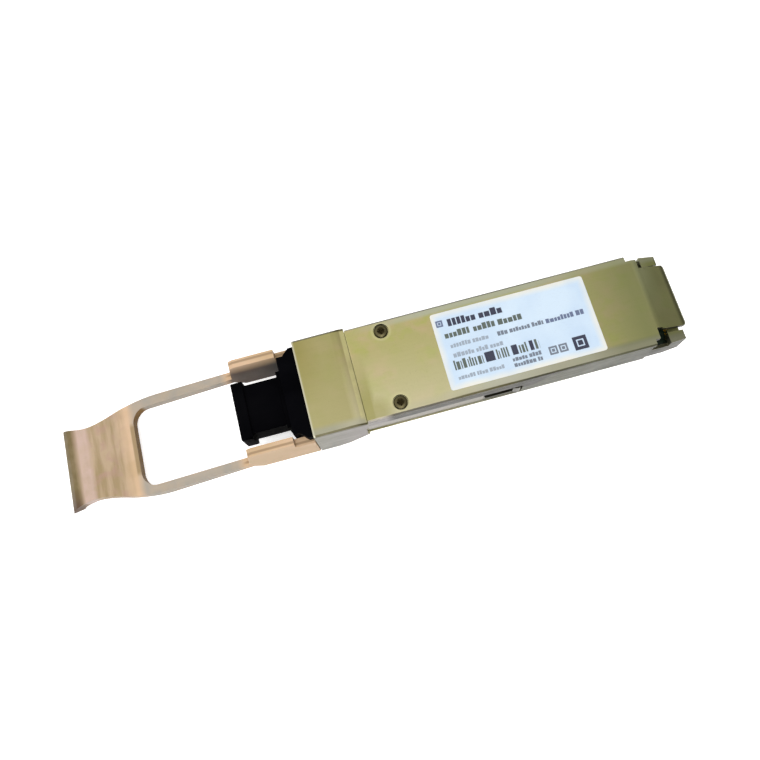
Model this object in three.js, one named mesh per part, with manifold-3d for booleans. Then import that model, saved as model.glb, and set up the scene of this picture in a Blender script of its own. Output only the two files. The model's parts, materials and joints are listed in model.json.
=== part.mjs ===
// Pluggable optical transceiver module with a multi-fibre port, a pull-tab release and a dust plug.
// Units are millimetres. +X runs along the module to its edge connector, +Z is the label side, and the
// origin is on the flat bottom face, on the centre line, at the plane of the host cage's front edge.

import * as THREE from "three";
import { mergeVertices } from "three/addons/utils/BufferGeometryUtils.js";
import Module from "manifold-3d";

const wasm = await Module();
wasm.setup();

// ---------------------------------------------------------------- driving dimensions

const SIDES = { left: 1, right: -1 };
const CLEARANCE = 0.05; // between a piece and the face that it rests on
const ROUND_SEGMENTS = 24;
const FAR = 20; // length of a cutter that runs out of the part

// Part of the module inside the cage: a tray and a flat cover.
const BODY = { front: -10, trayEnd: 44.6, rear: 52.4, halfWidth: 9.175, bottom: 0, top: 8.5 };
const WALL = { inner: 7.6, floor: 1.2, top: 7.25, cavityFront: 0.5, edge: 0.4 };

// Nose in front of the cage, wider than the body, with a chin below the bottom face.
const NOSE = { front: -20, halfWidth: 9.5, top: 9.1, topEnd: -12.2, edge: 0.35 };
const CHIN = { bottom: -3.9, end: -17.5, breakX: -14.3, breakZ: -3 }; // shallow, then steep behind the break

// Rear mouth around the edge connector: a low rail on each side, which ends in a raised corner block.
const RAIL = { inner: 8.35, outer: 8.95, bottom: 0.6, top: 4.6, end: 51.6, endOuter: 8.65 };
const CORNER_BLOCK = { front: 48.4, inner: 6.85, bottom: 4.6, top: 6.3, endTop: 5.7 };
const CORNER_LEDGE = { front: 48.9, end: 51.2, inner: 5.9, top: 5 };
const HOOD = { halfWidth: 8.1, slopeFront: 46, endTop: 6.4, endBottom: 5.4, corner: 0.5, nose: 0.3 };
const HOOD_NOTCH = { front: 47, halfWidth: 6.3 };
const HOOD_POCKET = { front: 45.9, end: 47.1, from: 6 }; // deeper cut, on the right side only

// Cover plate that closes the tray.
const COVER = { front: -9.9, end: 44.95, bottom: 7.35, edge: 0.3 };
const LIP = { front: 1, end: 44, outer: 7.45, inner: 6.9, bottom: 6.5 };
const SCREW = { x: -3.2, y: 7.1, thread: 0.7, point: 0.45, pointLength: 0.35, tip: 4.3, seat: 8.05 };
const SCREW_HOLE = { r: 0.8, bottom: 4, seatR: 1.45 };
const SCREW_HEAD = { r: 1.3, rim: 0.35, shoulderR: 1.15, shoulder: 0.55, crownR: 0.8, crown: 0.68 };
const SCREW_TOP = 0.72;
const CROSS_RECESS = { halfWidth: 0.16, halfLength: 0.75, floor: 0.25 };

// Port, ferrule and everything on the optical axis.
const AXIS_Z = 2.3;
const PORT = { halfWidth: 6.3, halfHeight: 3.9, end: -14.1, keyHalfWidth: 1.6, keyTop: 6.75 };
const RECEPTACLE = { halfWidth: 7.4, bottom: -2.3, top: 6.9, step: -14.6, end: -9.2, rearHalfHeight: 1.75 };
const BAY = { halfWidth: 7.55, top: 7.05, step: -14.5, end: -9, rearHalfHeight: 1.85 };
const BEZEL = { front: -23.6, back: -20.05, halfWidth: 7.6, bottom: -2.4, top: 7.6 };
const SHOULDER = { bottom: 5.4, halfWidth: 8.9, front: -22.4, full: -21 };
const FERRULE = { front: -16.8, end: -8.9, halfWidth: 3.2, halfHeight: 1.25, slack: 0.1 };
const FLANGE = { front: -9.1, end: -7.2, halfWidth: 3.8, halfHeight: 1.6 };
const KEEPER = { front: -7.15, end: -6.2, halfWidth: 3.6, halfHeight: 1.3 };
const HOOK = { front: -16.9, crest: -16.3, back: -16, inner: 4.5, shank: 5.3, tip: 5.1, outer: 5.7 };
const HOOK_HALF_HEIGHT = 1.2;
const FIBRE_PASSAGE = { halfWidth: 4.4, bottom: 0.6 };
const GUIDE_PIN = { front: -18.8, end: -6.6, y: 2.3, r: 0.345, hole: 0.38 };
const RIBBON = { front: -11.8, end: 4.4, halfWidth: 1.55, thickness: 0.3, lift: 4.6, slack: 0.15 };
const RIBBON_BEND = { start: -5.5, end: 1.4, reach: 3.4 };
const RIBBON_STEPS = 32;

// Circuit card and what is soldered to it.
const CARD = { front: 1.2, end: 50.6, halfWidth: 7.4, bottom: 2.4, top: 3.4, corner: 0.5 };
const CARD_MOUTH = { front: 44.9, halfWidth: 8.2 }; // wider part between the rails
const CHIP_BASE = CARD.top + CLEARANCE;
const CARD_POST = { x: 30, y: 6.4, r: 0.7, hole: 0.8, top: 4 };
const CARD_LEDGES = [
  { front: 1, end: 3, inner: 5.6 },
  { front: 38, end: 43, inner: 5.6 },
];
const COUPLER = { front: 2.8, end: 9, halfWidth: 2.6, tunnelFront: 4.8, roof: 3.9, top: 5.6, foot: 1.9 };
const MIRROR_GROOVE = { front: 5.6, root: 6.6, end: 7.1, depth: 1.1 };
const DIE = { front: 6.2, end: 6.7, near: 0.2, far: 1.6, top: 3.7, edge: 0.02 };
const CHIP_ROW = { front: 11.5, end: 14.5, near: 0.4, far: 3.6, top: 4.35 };
const PEDESTAL = { front: 10.8, end: 15.2, halfWidth: 4, bottom: 5.25 };
const FLOOR_PEDESTAL = { front: 10.5, end: 21.5, halfWidth: 4, top: 1.7 };
const PAD_INSET = 0.2;
const MOUTH_BOTTOM = CARD.bottom - 0.3;
const CONTROLLER = { front: 24, end: 29, halfWidth: 2.5, top: 4.3 };
const INDUCTOR = { front: 33, end: 36, halfWidth: 1.5, top: 4.9, edge: 0.3 };
const CAPACITOR = { fronts: [18, 21], length: 1.6, y: 3.2, halfWidth: 0.4, top: 4.25 };
const CHIP_EDGE = 0.08;

// Latch: a sheet slider in the side channels, held forward by two springs.
const TRAVEL = 2.5;
const ARM = { inner: 8.45, outer: 8.95, bottom: 0.8, top: 4.6, front: -31, end: 19.6 };
const ARM_STEP = { front: 12.2, end: 12.9, top: 1.7 }; // low bar past the cage's latch finger
const TIP = { front: 18.2, crest: 19, outer: 9.15, top: 3.6 };
const CHANNEL = { inner: 8.35, outer: 9.1, bottom: 0.5, top: 4.9, end: 19.9 };
const BRIDGE = { front: -18.8, end: -16.6, bottom: -2.9, top: -2.5 };
const BRIDGE_SLOT = { end: -16.4, bottom: -3 };
const SPRING = { y: 6.85, z: 2, meanR: 0.94, wireR: 0.15, front: -8.05, end: -1.1, turns: 8 };
const SPRING_STEPS_PER_TURN = 10;
const SPRING_POCKET = { front: -8.3, halfSize: 1.2 };
const EAR = { front: -0.9, end: -0.4, inner: 5.95, halfHeight: 0.7, slack: 0.1, overrun: 0.4 };
const GASKET = { front: 1.5, end: 43.5, inner: 8.05, outer: 8.5, bottom: 6.85, top: 7.3, edge: 0.12 };
const GROOVE_SLACK = 0.1;

// Pull tab: two tall side arms, two thin rails and a broad grip with a turned-down lip.
const TAB_ARM = { inner: 7.9, outer: 9.5, bottom: -3.2, top: 7.4, front: -33.6, end: -20.2 };
const TAB_ARM_KEEL = { x: -31.6, z: -0.9 }; // where its lower edge turns down from the rail
const TAB_ARM_HEEL = { front: -23.9, top: 5.1 }; // lower where it passes the port's shoulder
const TAB_ARM_BROW = { x: -32.7, z: 6.9, end: -31.8 }; // rounded front top corner
const TAB = { thickness: 2.2, startX: -31.5, startZ: 0.2, bendX: -42, bendZ: -1.2, lipX: -67.6, lipZ: -4.5 };
const TAB_LIP = { r: 2.6, endAngle: Math.PI * 0.9, slopeX: 12, slopeZ: 1.44 };
const TAB_WINDOW = { end: -55, halfWidth: 8, r: 3 };
const TAB_LINE_STEPS = 44;
const TAB_EDGE_STEPS = 26;
const TAB_EDGE = [
  [-31.5, 9.5],
  [-38, 9.6],
  [-47, 9.8],
  [-52, 9.75],
  [-57, 9],
  [-61, 7.9],
  [-64.5, 7.3],
  [-67.5, 7.6],
  [-72, 8.8],
];

// Dust plug: a hollow skirt in the port, a flange, a waisted grip and a rim.
const PLUG = { skirtEnd: -17.8, skirtHalfWidth: 6.15, skirtHalfHeight: 3.75, hollowFront: -24, wall: 1.25 };
const PLUG_FLANGE = { front: -24.5, back: -23.65, halfWidth: 5.6, halfHeight: 3.5 };
const PLUG_GRIP = { halfWidth: 4.8, halfHeight: 2.6 };
const PLUG_RIM = { front: -33.4, back: -31.2, halfWidth: 5.7, halfHeight: 3.1, edge: 0.4 };

const LABEL = { front: 6.3, end: 36, halfWidth: 7.6, lift: 0.02, thickness: 0.08, cornerR: 0.5 };

// ---------------------------------------------------------------- solids from three.js geometry

function solidOf(geometry) {
  const bare = geometry.clone();
  bare.deleteAttribute("normal");
  bare.deleteAttribute("uv");
  const merged = mergeVertices(bare, 1e-4);
  const mesh = new wasm.Mesh({
    numProp: 3,
    vertProperties: merged.attributes.position.array,
    triVerts: new Uint32Array(merged.index.array),
  });
  return new wasm.Manifold(mesh);
}

function geometryOf(solid) {
  const mesh = solid.getMesh();
  const geometry = new THREE.BufferGeometry();
  geometry.setAttribute("position", new THREE.BufferAttribute(mesh.vertProperties, 3));
  geometry.setIndex(new THREE.BufferAttribute(mesh.triVerts, 1));
  const flat = geometry.toNonIndexed();
  flat.computeVertexNormals();
  return flat;
}

const join = (first, ...others) => others.reduce((sum, next) => sum.add(next), first);
const cut = (first, ...tools) => tools.reduce((rest, tool) => rest.subtract(tool), first);

function box(x0, x1, y0, y1, z0, z1) {
  const geometry = new THREE.BoxGeometry(x1 - x0, Math.abs(y1 - y0), z1 - z0);
  geometry.translate((x0 + x1) / 2, (y0 + y1) / 2, (z0 + z1) / 2);
  return solidOf(geometry);
}

// A box that is centred across the width.
const centred = (x0, x1, halfWidth, z0, z1) => box(x0, x1, -halfWidth, halfWidth, z0, z1);

// A box centred on the optical axis in both directions.
function axial(x0, x1, halfWidth, halfHeight) {
  return centred(x0, x1, halfWidth, AXIS_Z - halfHeight, AXIS_Z + halfHeight);
}

const shapeOf = (points) => new THREE.Shape(points.map(([u, v]) => new THREE.Vector2(u, v)));

// Sweeps a shape drawn in (first, second) along the third axis, from start to end.
function sweep(shape, first, second, third, start, end) {
  const geometry = new THREE.ExtrudeGeometry(shape, { depth: end - start, bevelEnabled: false });
  geometry.translate(0, 0, start);
  geometry.applyMatrix4(new THREE.Matrix4().makeBasis(first, second, third));
  return solidOf(geometry);
}

const X = new THREE.Vector3(1, 0, 0);
const Y = new THREE.Vector3(0, 1, 0);
const Z = new THREE.Vector3(0, 0, 1);

// Plan outline (x, y) swept upwards.
const upward = (points, z0, z1) => sweep(shapeOf(points), X, Y, Z, z0, z1);

// Cross section (y, z) swept along the length.
const lengthwise = (points, x0, x1) => sweep(shapeOf(points), Y, Z, X, x0, x1);

// Side profile (x, z) swept across the width.
const across = (points, y0, y1) => sweep(shapeOf(points), X, Z, Y.clone().negate(), -y1, -y0);

// Round bar along Z or along X.
function upright(r, x, y, z0, z1) {
  const geometry = new THREE.CylinderGeometry(r, r, z1 - z0, ROUND_SEGMENTS);
  geometry.rotateX(Math.PI / 2);
  geometry.translate(x, y, (z0 + z1) / 2);
  return solidOf(geometry);
}

function lying(r, x0, x1, y, z) {
  const geometry = new THREE.CylinderGeometry(r, r, x1 - x0, ROUND_SEGMENTS / 2);
  geometry.rotateZ(Math.PI / 2);
  geometry.translate((x0 + x1) / 2, y, z);
  return solidOf(geometry);
}

// Outline with the four corners of a rectangle cut at 45 degrees.
function chamfered(u0, u1, v0, v1, edge) {
  return [
    [u0 + edge, v0],
    [u1 - edge, v0],
    [u1, v0 + edge],
    [u1, v1 - edge],
    [u1 - edge, v1],
    [u0 + edge, v1],
    [u0, v1 - edge],
    [u0, v0 + edge],
  ];
}

// Outline of a rectangle with round corners.
function rounded(u0, u1, v0, v1, r) {
  const path = new THREE.Path();
  path.absarc(u1 - r, v1 - r, r, 0, Math.PI / 2);
  path.absarc(u0 + r, v1 - r, r, Math.PI / 2, Math.PI);
  path.absarc(u0 + r, v0 + r, r, Math.PI, Math.PI * 1.5);
  path.absarc(u1 - r, v0 + r, r, Math.PI * 1.5, Math.PI * 2);
  return path.getPoints(6).map((point) => [point.x, point.y]);
}

// Outline of a band of even thickness around a curve.
function band(curve, thickness, steps) {
  const upper = [];
  const lower = [];
  for (let i = 0; i <= steps; i += 1) {
    const point = curve.getPointAt(i / steps);
    const tangent = curve.getTangentAt(i / steps);
    const offset = new THREE.Vector2(-tangent.y, tangent.x).multiplyScalar(thickness / 2);
    upper.push([point.x + offset.x, point.y + offset.y]);
    lower.unshift([point.x - offset.x, point.y - offset.y]);
  }
  return [...upper, ...lower];
}

// ---------------------------------------------------------------- die-cast shell

function noseBlock() {
  const profile = [
    [NOSE.front, CHIN.bottom],
    [CHIN.end, CHIN.bottom],
    [CHIN.breakX, CHIN.breakZ],
    [BODY.front, BODY.bottom],
    [BODY.front, BODY.top],
    [NOSE.topEnd, NOSE.top],
    [NOSE.front, NOSE.top],
  ];
  const side = across(profile, -NOSE.halfWidth, NOSE.halfWidth);
  const section = chamfered(-NOSE.halfWidth, NOSE.halfWidth, CHIN.bottom, NOSE.top, NOSE.edge);
  return side.intersect(lengthwise(section, NOSE.front, BODY.front));
}

function trayBlock() {
  const { halfWidth, bottom } = BODY;
  const section = [
    [-halfWidth + WALL.edge, bottom],
    [halfWidth - WALL.edge, bottom],
    [halfWidth, bottom + WALL.edge],
    [halfWidth, WALL.top],
    [-halfWidth, WALL.top],
    [-halfWidth, bottom + WALL.edge],
  ];
  return lengthwise(section, BODY.front - WALL.edge, BODY.trayEnd);
}

// Side rail of the rear mouth, with the corner block that stands beside the cover's hood.
function rearRail(side) {
  const { front, top, bottom } = CORNER_BLOCK;
  const tapered = (inner) => [
    [front, side * inner],
    [front, side * RAIL.outer],
    [RAIL.end, side * RAIL.endOuter],
    [RAIL.end, side * inner],
  ];
  const slopedTop = [
    [front, BODY.bottom],
    [RAIL.end, BODY.bottom],
    [RAIL.end, CORNER_BLOCK.endTop],
    [front, top],
  ];
  const post = upward(tapered(RAIL.inner), RAIL.bottom, top);
  const block = upward(tapered(CORNER_BLOCK.inner), bottom, top);
  const corner = join(post, block).intersect(across(slopedTop, -NOSE.halfWidth, NOSE.halfWidth));
  const start = BODY.trayEnd - WALL.edge;
  const rail = box(start, front, side * RAIL.inner, side * RAIL.outer, RAIL.bottom, RAIL.top);
  const ledge = box(
    CORNER_LEDGE.front,
    CORNER_LEDGE.end,
    side * CORNER_LEDGE.inner,
    side * (CORNER_BLOCK.inner + WALL.edge),
    bottom,
    CORNER_LEDGE.top,
  );
  return join(corner, rail, ledge);
}

// Channels for the latch arm and its bridge, the spring's pocket, and a passage for the ear on the arm.
function latchCuts(side) {
  const outside = side * (BODY.halfWidth + 1);
  const pocket = SPRING_POCKET.halfSize;
  const { inner, outer, bottom, top, end } = CHANNEL;
  const earHalfHeight = EAR.halfHeight + EAR.slack;
  return [
    box(-FAR - 1, BODY.front, side * inner, side * outer, bottom, top),
    box(BODY.front - WALL.edge, end, side * inner, outside, bottom, top),
    box(-FAR - 1, BRIDGE_SLOT.end, side * inner, side * outer, BRIDGE_SLOT.bottom, top),
    box(
      SPRING_POCKET.front,
      WALL.cavityFront + 1,
      side * (SPRING.y - pocket),
      side * (SPRING.y + pocket),
      SPRING.z - pocket,
      SPRING.z + pocket,
    ),
    box(
      EAR.front - TRAVEL - EAR.overrun,
      EAR.end + EAR.overrun,
      side * SPRING.y,
      side * (inner + EAR.slack),
      SPRING.z - earHalfHeight,
      SPRING.z + earHalfHeight,
    ),
  ];
}

// Bays of the port, the latch bridge and the fibre, one behind the other.
function portCuts() {
  const receptacleBay = centred(-FAR - 1, BAY.step, BAY.halfWidth, BEZEL.bottom, BAY.top);
  const narrowBay = axial(-FAR, BAY.end, BAY.halfWidth, BAY.rearHalfHeight);
  const bridgeTop = BEZEL.bottom + CLEARANCE;
  const bridgeBay = centred(-FAR - 1, BRIDGE_SLOT.end, CHANNEL.outer, BRIDGE_SLOT.bottom, bridgeTop);
  const { halfWidth, bottom } = FIBRE_PASSAGE;
  const fibrePassage = centred(BAY.end - WALL.edge, WALL.cavityFront + 1, halfWidth, bottom, FAR);
  return [receptacleBay, narrowBay, bridgeBay, fibrePassage];
}

// What the cover side needs on one side of the tray: a screw hole and a gasket groove.
function coverCuts(side) {
  return [
    upright(SCREW_HOLE.r, SCREW.x, side * SCREW.y, SCREW_HOLE.bottom, FAR),
    box(
      GASKET.front - GROOVE_SLACK,
      GASKET.end + GROOVE_SLACK,
      side * (GASKET.inner - CLEARANCE),
      side * (GASKET.outer + CLEARANCE),
      GASKET.bottom - CLEARANCE,
      FAR,
    ),
  ];
}

// What carries the card on one side of the tray: two ledges and a locating post.
function cardSeats(side) {
  const root = WALL.floor - WALL.edge;
  const ledges = CARD_LEDGES.map(({ front, end, inner }) =>
    box(front, end, side * inner, side * (WALL.inner + WALL.edge), root, CARD.bottom - CLEARANCE),
  );
  return [...ledges, upright(CARD_POST.r, CARD_POST.x, side * CARD_POST.y, root, CARD_POST.top)];
}

function baseHousing() {
  const { left, right } = SIDES;
  const outside = join(noseBlock(), trayBlock(), rearRail(left), rearRail(right));
  const cavity = centred(WALL.cavityFront, BODY.trayEnd + 1, WALL.inner, WALL.floor, FAR);
  const mouth = centred(BODY.trayEnd - 1, FAR * 3, RAIL.inner, MOUTH_BOTTOM, CORNER_BLOCK.bottom);
  const tray = cut(
    outside,
    cavity,
    mouth,
    ...portCuts(),
    ...latchCuts(left),
    ...latchCuts(right),
    ...coverCuts(left),
    ...coverCuts(right),
  );
  const { front, end, halfWidth, top } = FLOOR_PEDESTAL;
  const pedestal = centred(front, end, halfWidth, WALL.floor - WALL.edge, top);
  return join(tray, pedestal, ...cardSeats(left), ...cardSeats(right));
}

// Sloping hood over the edge connector, notched at both corners.
function coverHood() {
  const start = COVER.end - 1;
  const profile = [
    [start, COVER.bottom],
    [HOOD.slopeFront + HOOD.nose, COVER.bottom],
    [BODY.rear, HOOD.endBottom],
    [BODY.rear, HOOD.endTop - HOOD.nose],
    [BODY.rear - HOOD.nose, HOOD.endTop],
    [HOOD.slopeFront, BODY.top],
    [start, BODY.top],
  ];
  const half = [
    [start, HOOD.halfWidth],
    [HOOD_NOTCH.front, HOOD.halfWidth],
    [HOOD_NOTCH.front, HOOD_NOTCH.halfWidth],
    [BODY.rear - HOOD.corner, HOOD_NOTCH.halfWidth],
    [BODY.rear, HOOD_NOTCH.halfWidth - HOOD.corner],
  ];
  const outline = [...half, ...half.map(([x, y]) => [x, -y]).reverse()];
  const hood = across(profile, -HOOD.halfWidth, HOOD.halfWidth).intersect(upward(outline, BODY.bottom, FAR));
  const { front, end, from } = HOOD_POCKET;
  return hood.subtract(box(front, end, SIDES.right * FAR, SIDES.right * from, BODY.bottom, FAR));
}

function topCover() {
  const { halfWidth, top } = BODY;
  const section = [
    [-halfWidth, COVER.bottom],
    [halfWidth, COVER.bottom],
    [halfWidth, top - COVER.edge],
    [halfWidth - COVER.edge, top],
    [-halfWidth + COVER.edge, top],
    [-halfWidth, top - COVER.edge],
  ];
  const plate = lengthwise(section, COVER.front, COVER.end);
  const root = COVER.bottom + COVER.edge;
  const lipWidth = LIP.outer - LIP.inner;
  const lip = centred(LIP.front, LIP.end, LIP.outer, LIP.bottom, root).subtract(
    centred(LIP.front + lipWidth, LIP.end - lipWidth, LIP.inner, BODY.bottom, COVER.bottom),
  );
  const pedestal = centred(PEDESTAL.front, PEDESTAL.end, PEDESTAL.halfWidth, PEDESTAL.bottom, root);
  const screwCuts = Object.values(SIDES).flatMap((side) => [
    upright(SCREW_HOLE.r, SCREW.x, side * SCREW.y, BODY.bottom, FAR),
    upright(SCREW_HOLE.seatR, SCREW.x, side * SCREW.y, SCREW.seat, FAR),
  ]);
  return cut(join(plate, coverHood(), lip, pedestal), ...screwCuts);
}

// Cross-recessed pan-head screw, drawn on its own axis with its seat at z = 0.
function coverScrew() {
  const tip = SCREW.tip - SCREW.seat;
  const profile = [
    [0, tip],
    [SCREW.point, tip],
    [SCREW.thread, tip + SCREW.pointLength],
    [SCREW.thread, CLEARANCE],
    [SCREW_HEAD.r, CLEARANCE],
    [SCREW_HEAD.r, SCREW_HEAD.rim],
    [SCREW_HEAD.shoulderR, SCREW_HEAD.shoulder],
    [SCREW_HEAD.crownR, SCREW_HEAD.crown],
    [0, SCREW_TOP],
  ].map(([r, z]) => new THREE.Vector2(r, z));
  const lathe = new THREE.LatheGeometry(profile, ROUND_SEGMENTS);
  lathe.rotateX(Math.PI / 2);
  const { halfWidth, halfLength, floor } = CROSS_RECESS;
  return cut(
    solidOf(lathe),
    centred(-halfLength, halfLength, halfWidth, floor, FAR),
    centred(-halfWidth, halfWidth, halfLength, floor, FAR),
  );
}

function gasketStrip(side) {
  const inner = side * GASKET.inner;
  const outer = side * GASKET.outer;
  const [low, high] = [Math.min(inner, outer), Math.max(inner, outer)];
  return lengthwise(chamfered(low, high, GASKET.bottom, GASKET.top, GASKET.edge), GASKET.front, GASKET.end);
}

// ---------------------------------------------------------------- release latch

function latchSlider() {
  let slider = centred(BRIDGE.front, BRIDGE.end, ARM.outer, BRIDGE.bottom, BRIDGE.top);
  const profile = [
    [ARM.front, ARM.bottom],
    [ARM.end, ARM.bottom],
    [ARM.end, ARM_STEP.top],
    [ARM_STEP.end, ARM_STEP.top],
    [ARM_STEP.front, ARM.top],
    [ARM.front, ARM.top],
  ];
  for (const side of Object.values(SIDES)) {
    const [low, high] = [side * ARM.inner, side * ARM.outer].sort((a, b) => a - b);
    const tip = [
      [TIP.front, side * ARM.inner],
      [TIP.front, side * ARM.outer],
      [TIP.crest, side * TIP.outer],
      [ARM.end, side * TIP.outer],
      [ARM.end, side * ARM.inner],
    ];
    slider = join(
      slider,
      across(profile, low, high),
      box(BRIDGE.front, BRIDGE.end, low, high, BRIDGE.bottom, ARM_STEP.top),
      upward(tip, ARM.bottom, TIP.top),
      box(
        EAR.front,
        EAR.end,
        side * EAR.inner,
        side * ARM.outer,
        SPRING.z - EAR.halfHeight,
        SPRING.z + EAR.halfHeight,
      ),
    );
  }
  return slider;
}

class Helix extends THREE.Curve {
  getPoint(t, target = new THREE.Vector3()) {
    const angle = t * SPRING.turns * Math.PI * 2;
    const x = THREE.MathUtils.lerp(SPRING.front, SPRING.end, t);
    return target.set(x, SPRING.meanR * Math.cos(angle), SPRING.meanR * Math.sin(angle));
  }
}

// Compression spring on its own axis, along X.
function sliderSpring() {
  const wire = new THREE.Shape();
  wire.absarc(0, 0, SPRING.wireR, 0, Math.PI * 2);
  const geometry = new THREE.ExtrudeGeometry(wire, {
    steps: SPRING.turns * SPRING_STEPS_PER_TURN,
    curveSegments: 3,
    extrudePath: new Helix(),
  });
  return solidOf(geometry);
}

// Centre line of the rails and the grip, seen from the side, ending in the turned-down lip.
function tabCentreLine() {
  const start = new THREE.Vector2(TAB.startX, TAB.startZ);
  const bend = new THREE.Vector2(TAB.bendX, TAB.bendZ);
  const lip = new THREE.Vector2(TAB.lipX, TAB.lipZ);
  const slope = new THREE.Vector2(TAB_LIP.slopeX, TAB_LIP.slopeZ);
  const startAngle = Math.PI / 2 + slope.angle();
  const { r, endAngle } = TAB_LIP;
  const centre = new THREE.Vector2(-r, 0).rotateAround(new THREE.Vector2(), startAngle).add(lip);
  const line = new THREE.CurvePath();
  line.add(new THREE.CubicBezierCurve(start, bend, lip.clone().add(slope), lip));
  line.add(new THREE.EllipseCurve(centre.x, centre.y, r, r, startAngle, endAngle, false));
  return line;
}

function tabOutline() {
  const points = TAB_EDGE.map(([x, y]) => new THREE.Vector2(x, y));
  const edge = new THREE.SplineCurve(points).getPoints(TAB_EDGE_STEPS);
  const upper = edge.map((point) => [point.x, point.y]);
  const lower = edge.map((point) => [point.x, -point.y]).reverse();
  return [...upper, ...lower];
}

function tabArm(side) {
  const profile = [
    [TAB_ARM.front, TAB_ARM_KEEL.z],
    [TAB_ARM_KEEL.x, TAB_ARM.bottom],
    [TAB_ARM.end, TAB_ARM.bottom],
    [TAB_ARM.end, TAB_ARM_HEEL.top],
    [TAB_ARM_HEEL.front, TAB_ARM_HEEL.top],
    [TAB_ARM_HEEL.front, TAB_ARM.top],
    [TAB_ARM_BROW.end, TAB_ARM.top],
    [TAB_ARM_BROW.x, TAB_ARM_BROW.z],
    [TAB_ARM.front, TAB_ARM_KEEL.z + TAB.thickness],
  ];
  const [low, high] = [side * TAB_ARM.inner, side * TAB_ARM.outer].sort((a, b) => a - b);
  const slot = box(
    ARM.front - CLEARANCE,
    FAR,
    side * (ARM.inner - CLEARANCE),
    side * (ARM.outer + CLEARANCE),
    ARM.bottom - CLEARANCE,
    ARM.top + CLEARANCE,
  );
  return across(profile, low, high).subtract(slot);
}

function pullTab() {
  const { end, halfWidth, r } = TAB_WINDOW;
  const window = rounded(end, FAR, -halfWidth, halfWidth, r);
  const plan = upward(tabOutline(), -FAR, FAR).subtract(upward(window, -FAR, FAR));
  const profile = band(tabCentreLine(), TAB.thickness, TAB_LINE_STEPS);
  const sheet = across(profile, -FAR, FAR).intersect(plan);
  return join(sheet, tabArm(SIDES.left), tabArm(SIDES.right));
}

// ---------------------------------------------------------------- optical port

// Upper part of the bezel, which is wide enough to cover the pull tab's arms on one side.
function bezelShoulder(side) {
  const root = BEZEL.halfWidth - CLEARANCE;
  const outline = [
    [SHOULDER.front, side * root],
    [SHOULDER.front, side * BEZEL.halfWidth],
    [SHOULDER.full, side * SHOULDER.halfWidth],
    [BEZEL.back, side * SHOULDER.halfWidth],
    [BEZEL.back, side * root],
  ];
  return upward(outline, SHOULDER.bottom, BEZEL.top);
}

// Snap hook inside the port, which would hold a cable connector.
function portHook(side) {
  const outline = [
    [PORT.end + WALL.edge, side * HOOK.inner],
    [PORT.end + WALL.edge, side * HOOK.shank],
    [HOOK.back, side * HOOK.shank],
    [HOOK.crest, side * HOOK.outer],
    [HOOK.front, side * HOOK.tip],
    [HOOK.front, side * HOOK.inner],
  ];
  return upward(outline, AXIS_Z - HOOK_HALF_HEIGHT, AXIS_Z + HOOK_HALF_HEIGHT);
}

function mpoReceptacle() {
  const solid = join(
    centred(BEZEL.front, BEZEL.back, BEZEL.halfWidth, BEZEL.bottom, BEZEL.top),
    bezelShoulder(SIDES.left),
    bezelShoulder(SIDES.right),
    centred(BEZEL.back - 1, RECEPTACLE.step, RECEPTACLE.halfWidth, RECEPTACLE.bottom, RECEPTACLE.top),
    axial(BEZEL.back, RECEPTACLE.end, RECEPTACLE.halfWidth, RECEPTACLE.rearHalfHeight),
  );
  const hollow = cut(
    solid,
    axial(-FAR * 2, PORT.end, PORT.halfWidth, PORT.halfHeight),
    centred(-FAR * 2, PORT.end, PORT.keyHalfWidth, AXIS_Z, PORT.keyTop),
    axial(-FAR, 0, FERRULE.halfWidth + FERRULE.slack, FERRULE.halfHeight + FERRULE.slack),
  );
  return join(hollow, portHook(SIDES.left), portHook(SIDES.right));
}

// Slot for the ribbon and the two guide pin holes, which run through the ferrule and the keeper.
function ferruleCuts(front) {
  const slot = axial(front, 0, RIBBON.halfWidth + RIBBON.slack, RIBBON.thickness);
  const hole = (side) => lying(GUIDE_PIN.hole, -FAR, 0, side * GUIDE_PIN.y, AXIS_Z);
  return [slot, hole(SIDES.left), hole(SIDES.right)];
}

function mtFerrule() {
  const body = axial(FERRULE.front, FERRULE.end, FERRULE.halfWidth, FERRULE.halfHeight);
  const flange = axial(FLANGE.front, FLANGE.end, FLANGE.halfWidth, FLANGE.halfHeight);
  return cut(join(body, flange), ...ferruleCuts(RIBBON.front - RIBBON.thickness));
}

function pinKeeper() {
  const plate = axial(KEEPER.front, KEEPER.end, KEEPER.halfWidth, KEEPER.halfHeight);
  return cut(plate, ...ferruleCuts(-FAR));
}

const guidePin = (side) => lying(GUIDE_PIN.r, GUIDE_PIN.front, GUIDE_PIN.end, side * GUIDE_PIN.y, AXIS_Z);

// Flat ribbon that leaves the ferrule level and climbs to the lens coupler.
function fibreRibbon() {
  const start = new THREE.Vector2(RIBBON.front, AXIS_Z);
  const bendStart = new THREE.Vector2(RIBBON_BEND.start, AXIS_Z);
  const bendEnd = new THREE.Vector2(RIBBON_BEND.end, RIBBON.lift);
  const end = new THREE.Vector2(RIBBON.end, RIBBON.lift);
  const reach = new THREE.Vector2(RIBBON_BEND.reach, 0);
  const leave = bendStart.clone().add(reach);
  const arrive = bendEnd.clone().sub(reach);
  const line = new THREE.CurvePath();
  line.add(new THREE.LineCurve(start, bendStart));
  line.add(new THREE.CubicBezierCurve(bendStart, leave, arrive, bendEnd));
  line.add(new THREE.LineCurve(bendEnd, end));
  return across(band(line, RIBBON.thickness, RIBBON_STEPS), -RIBBON.halfWidth, RIBBON.halfWidth);
}

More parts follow.
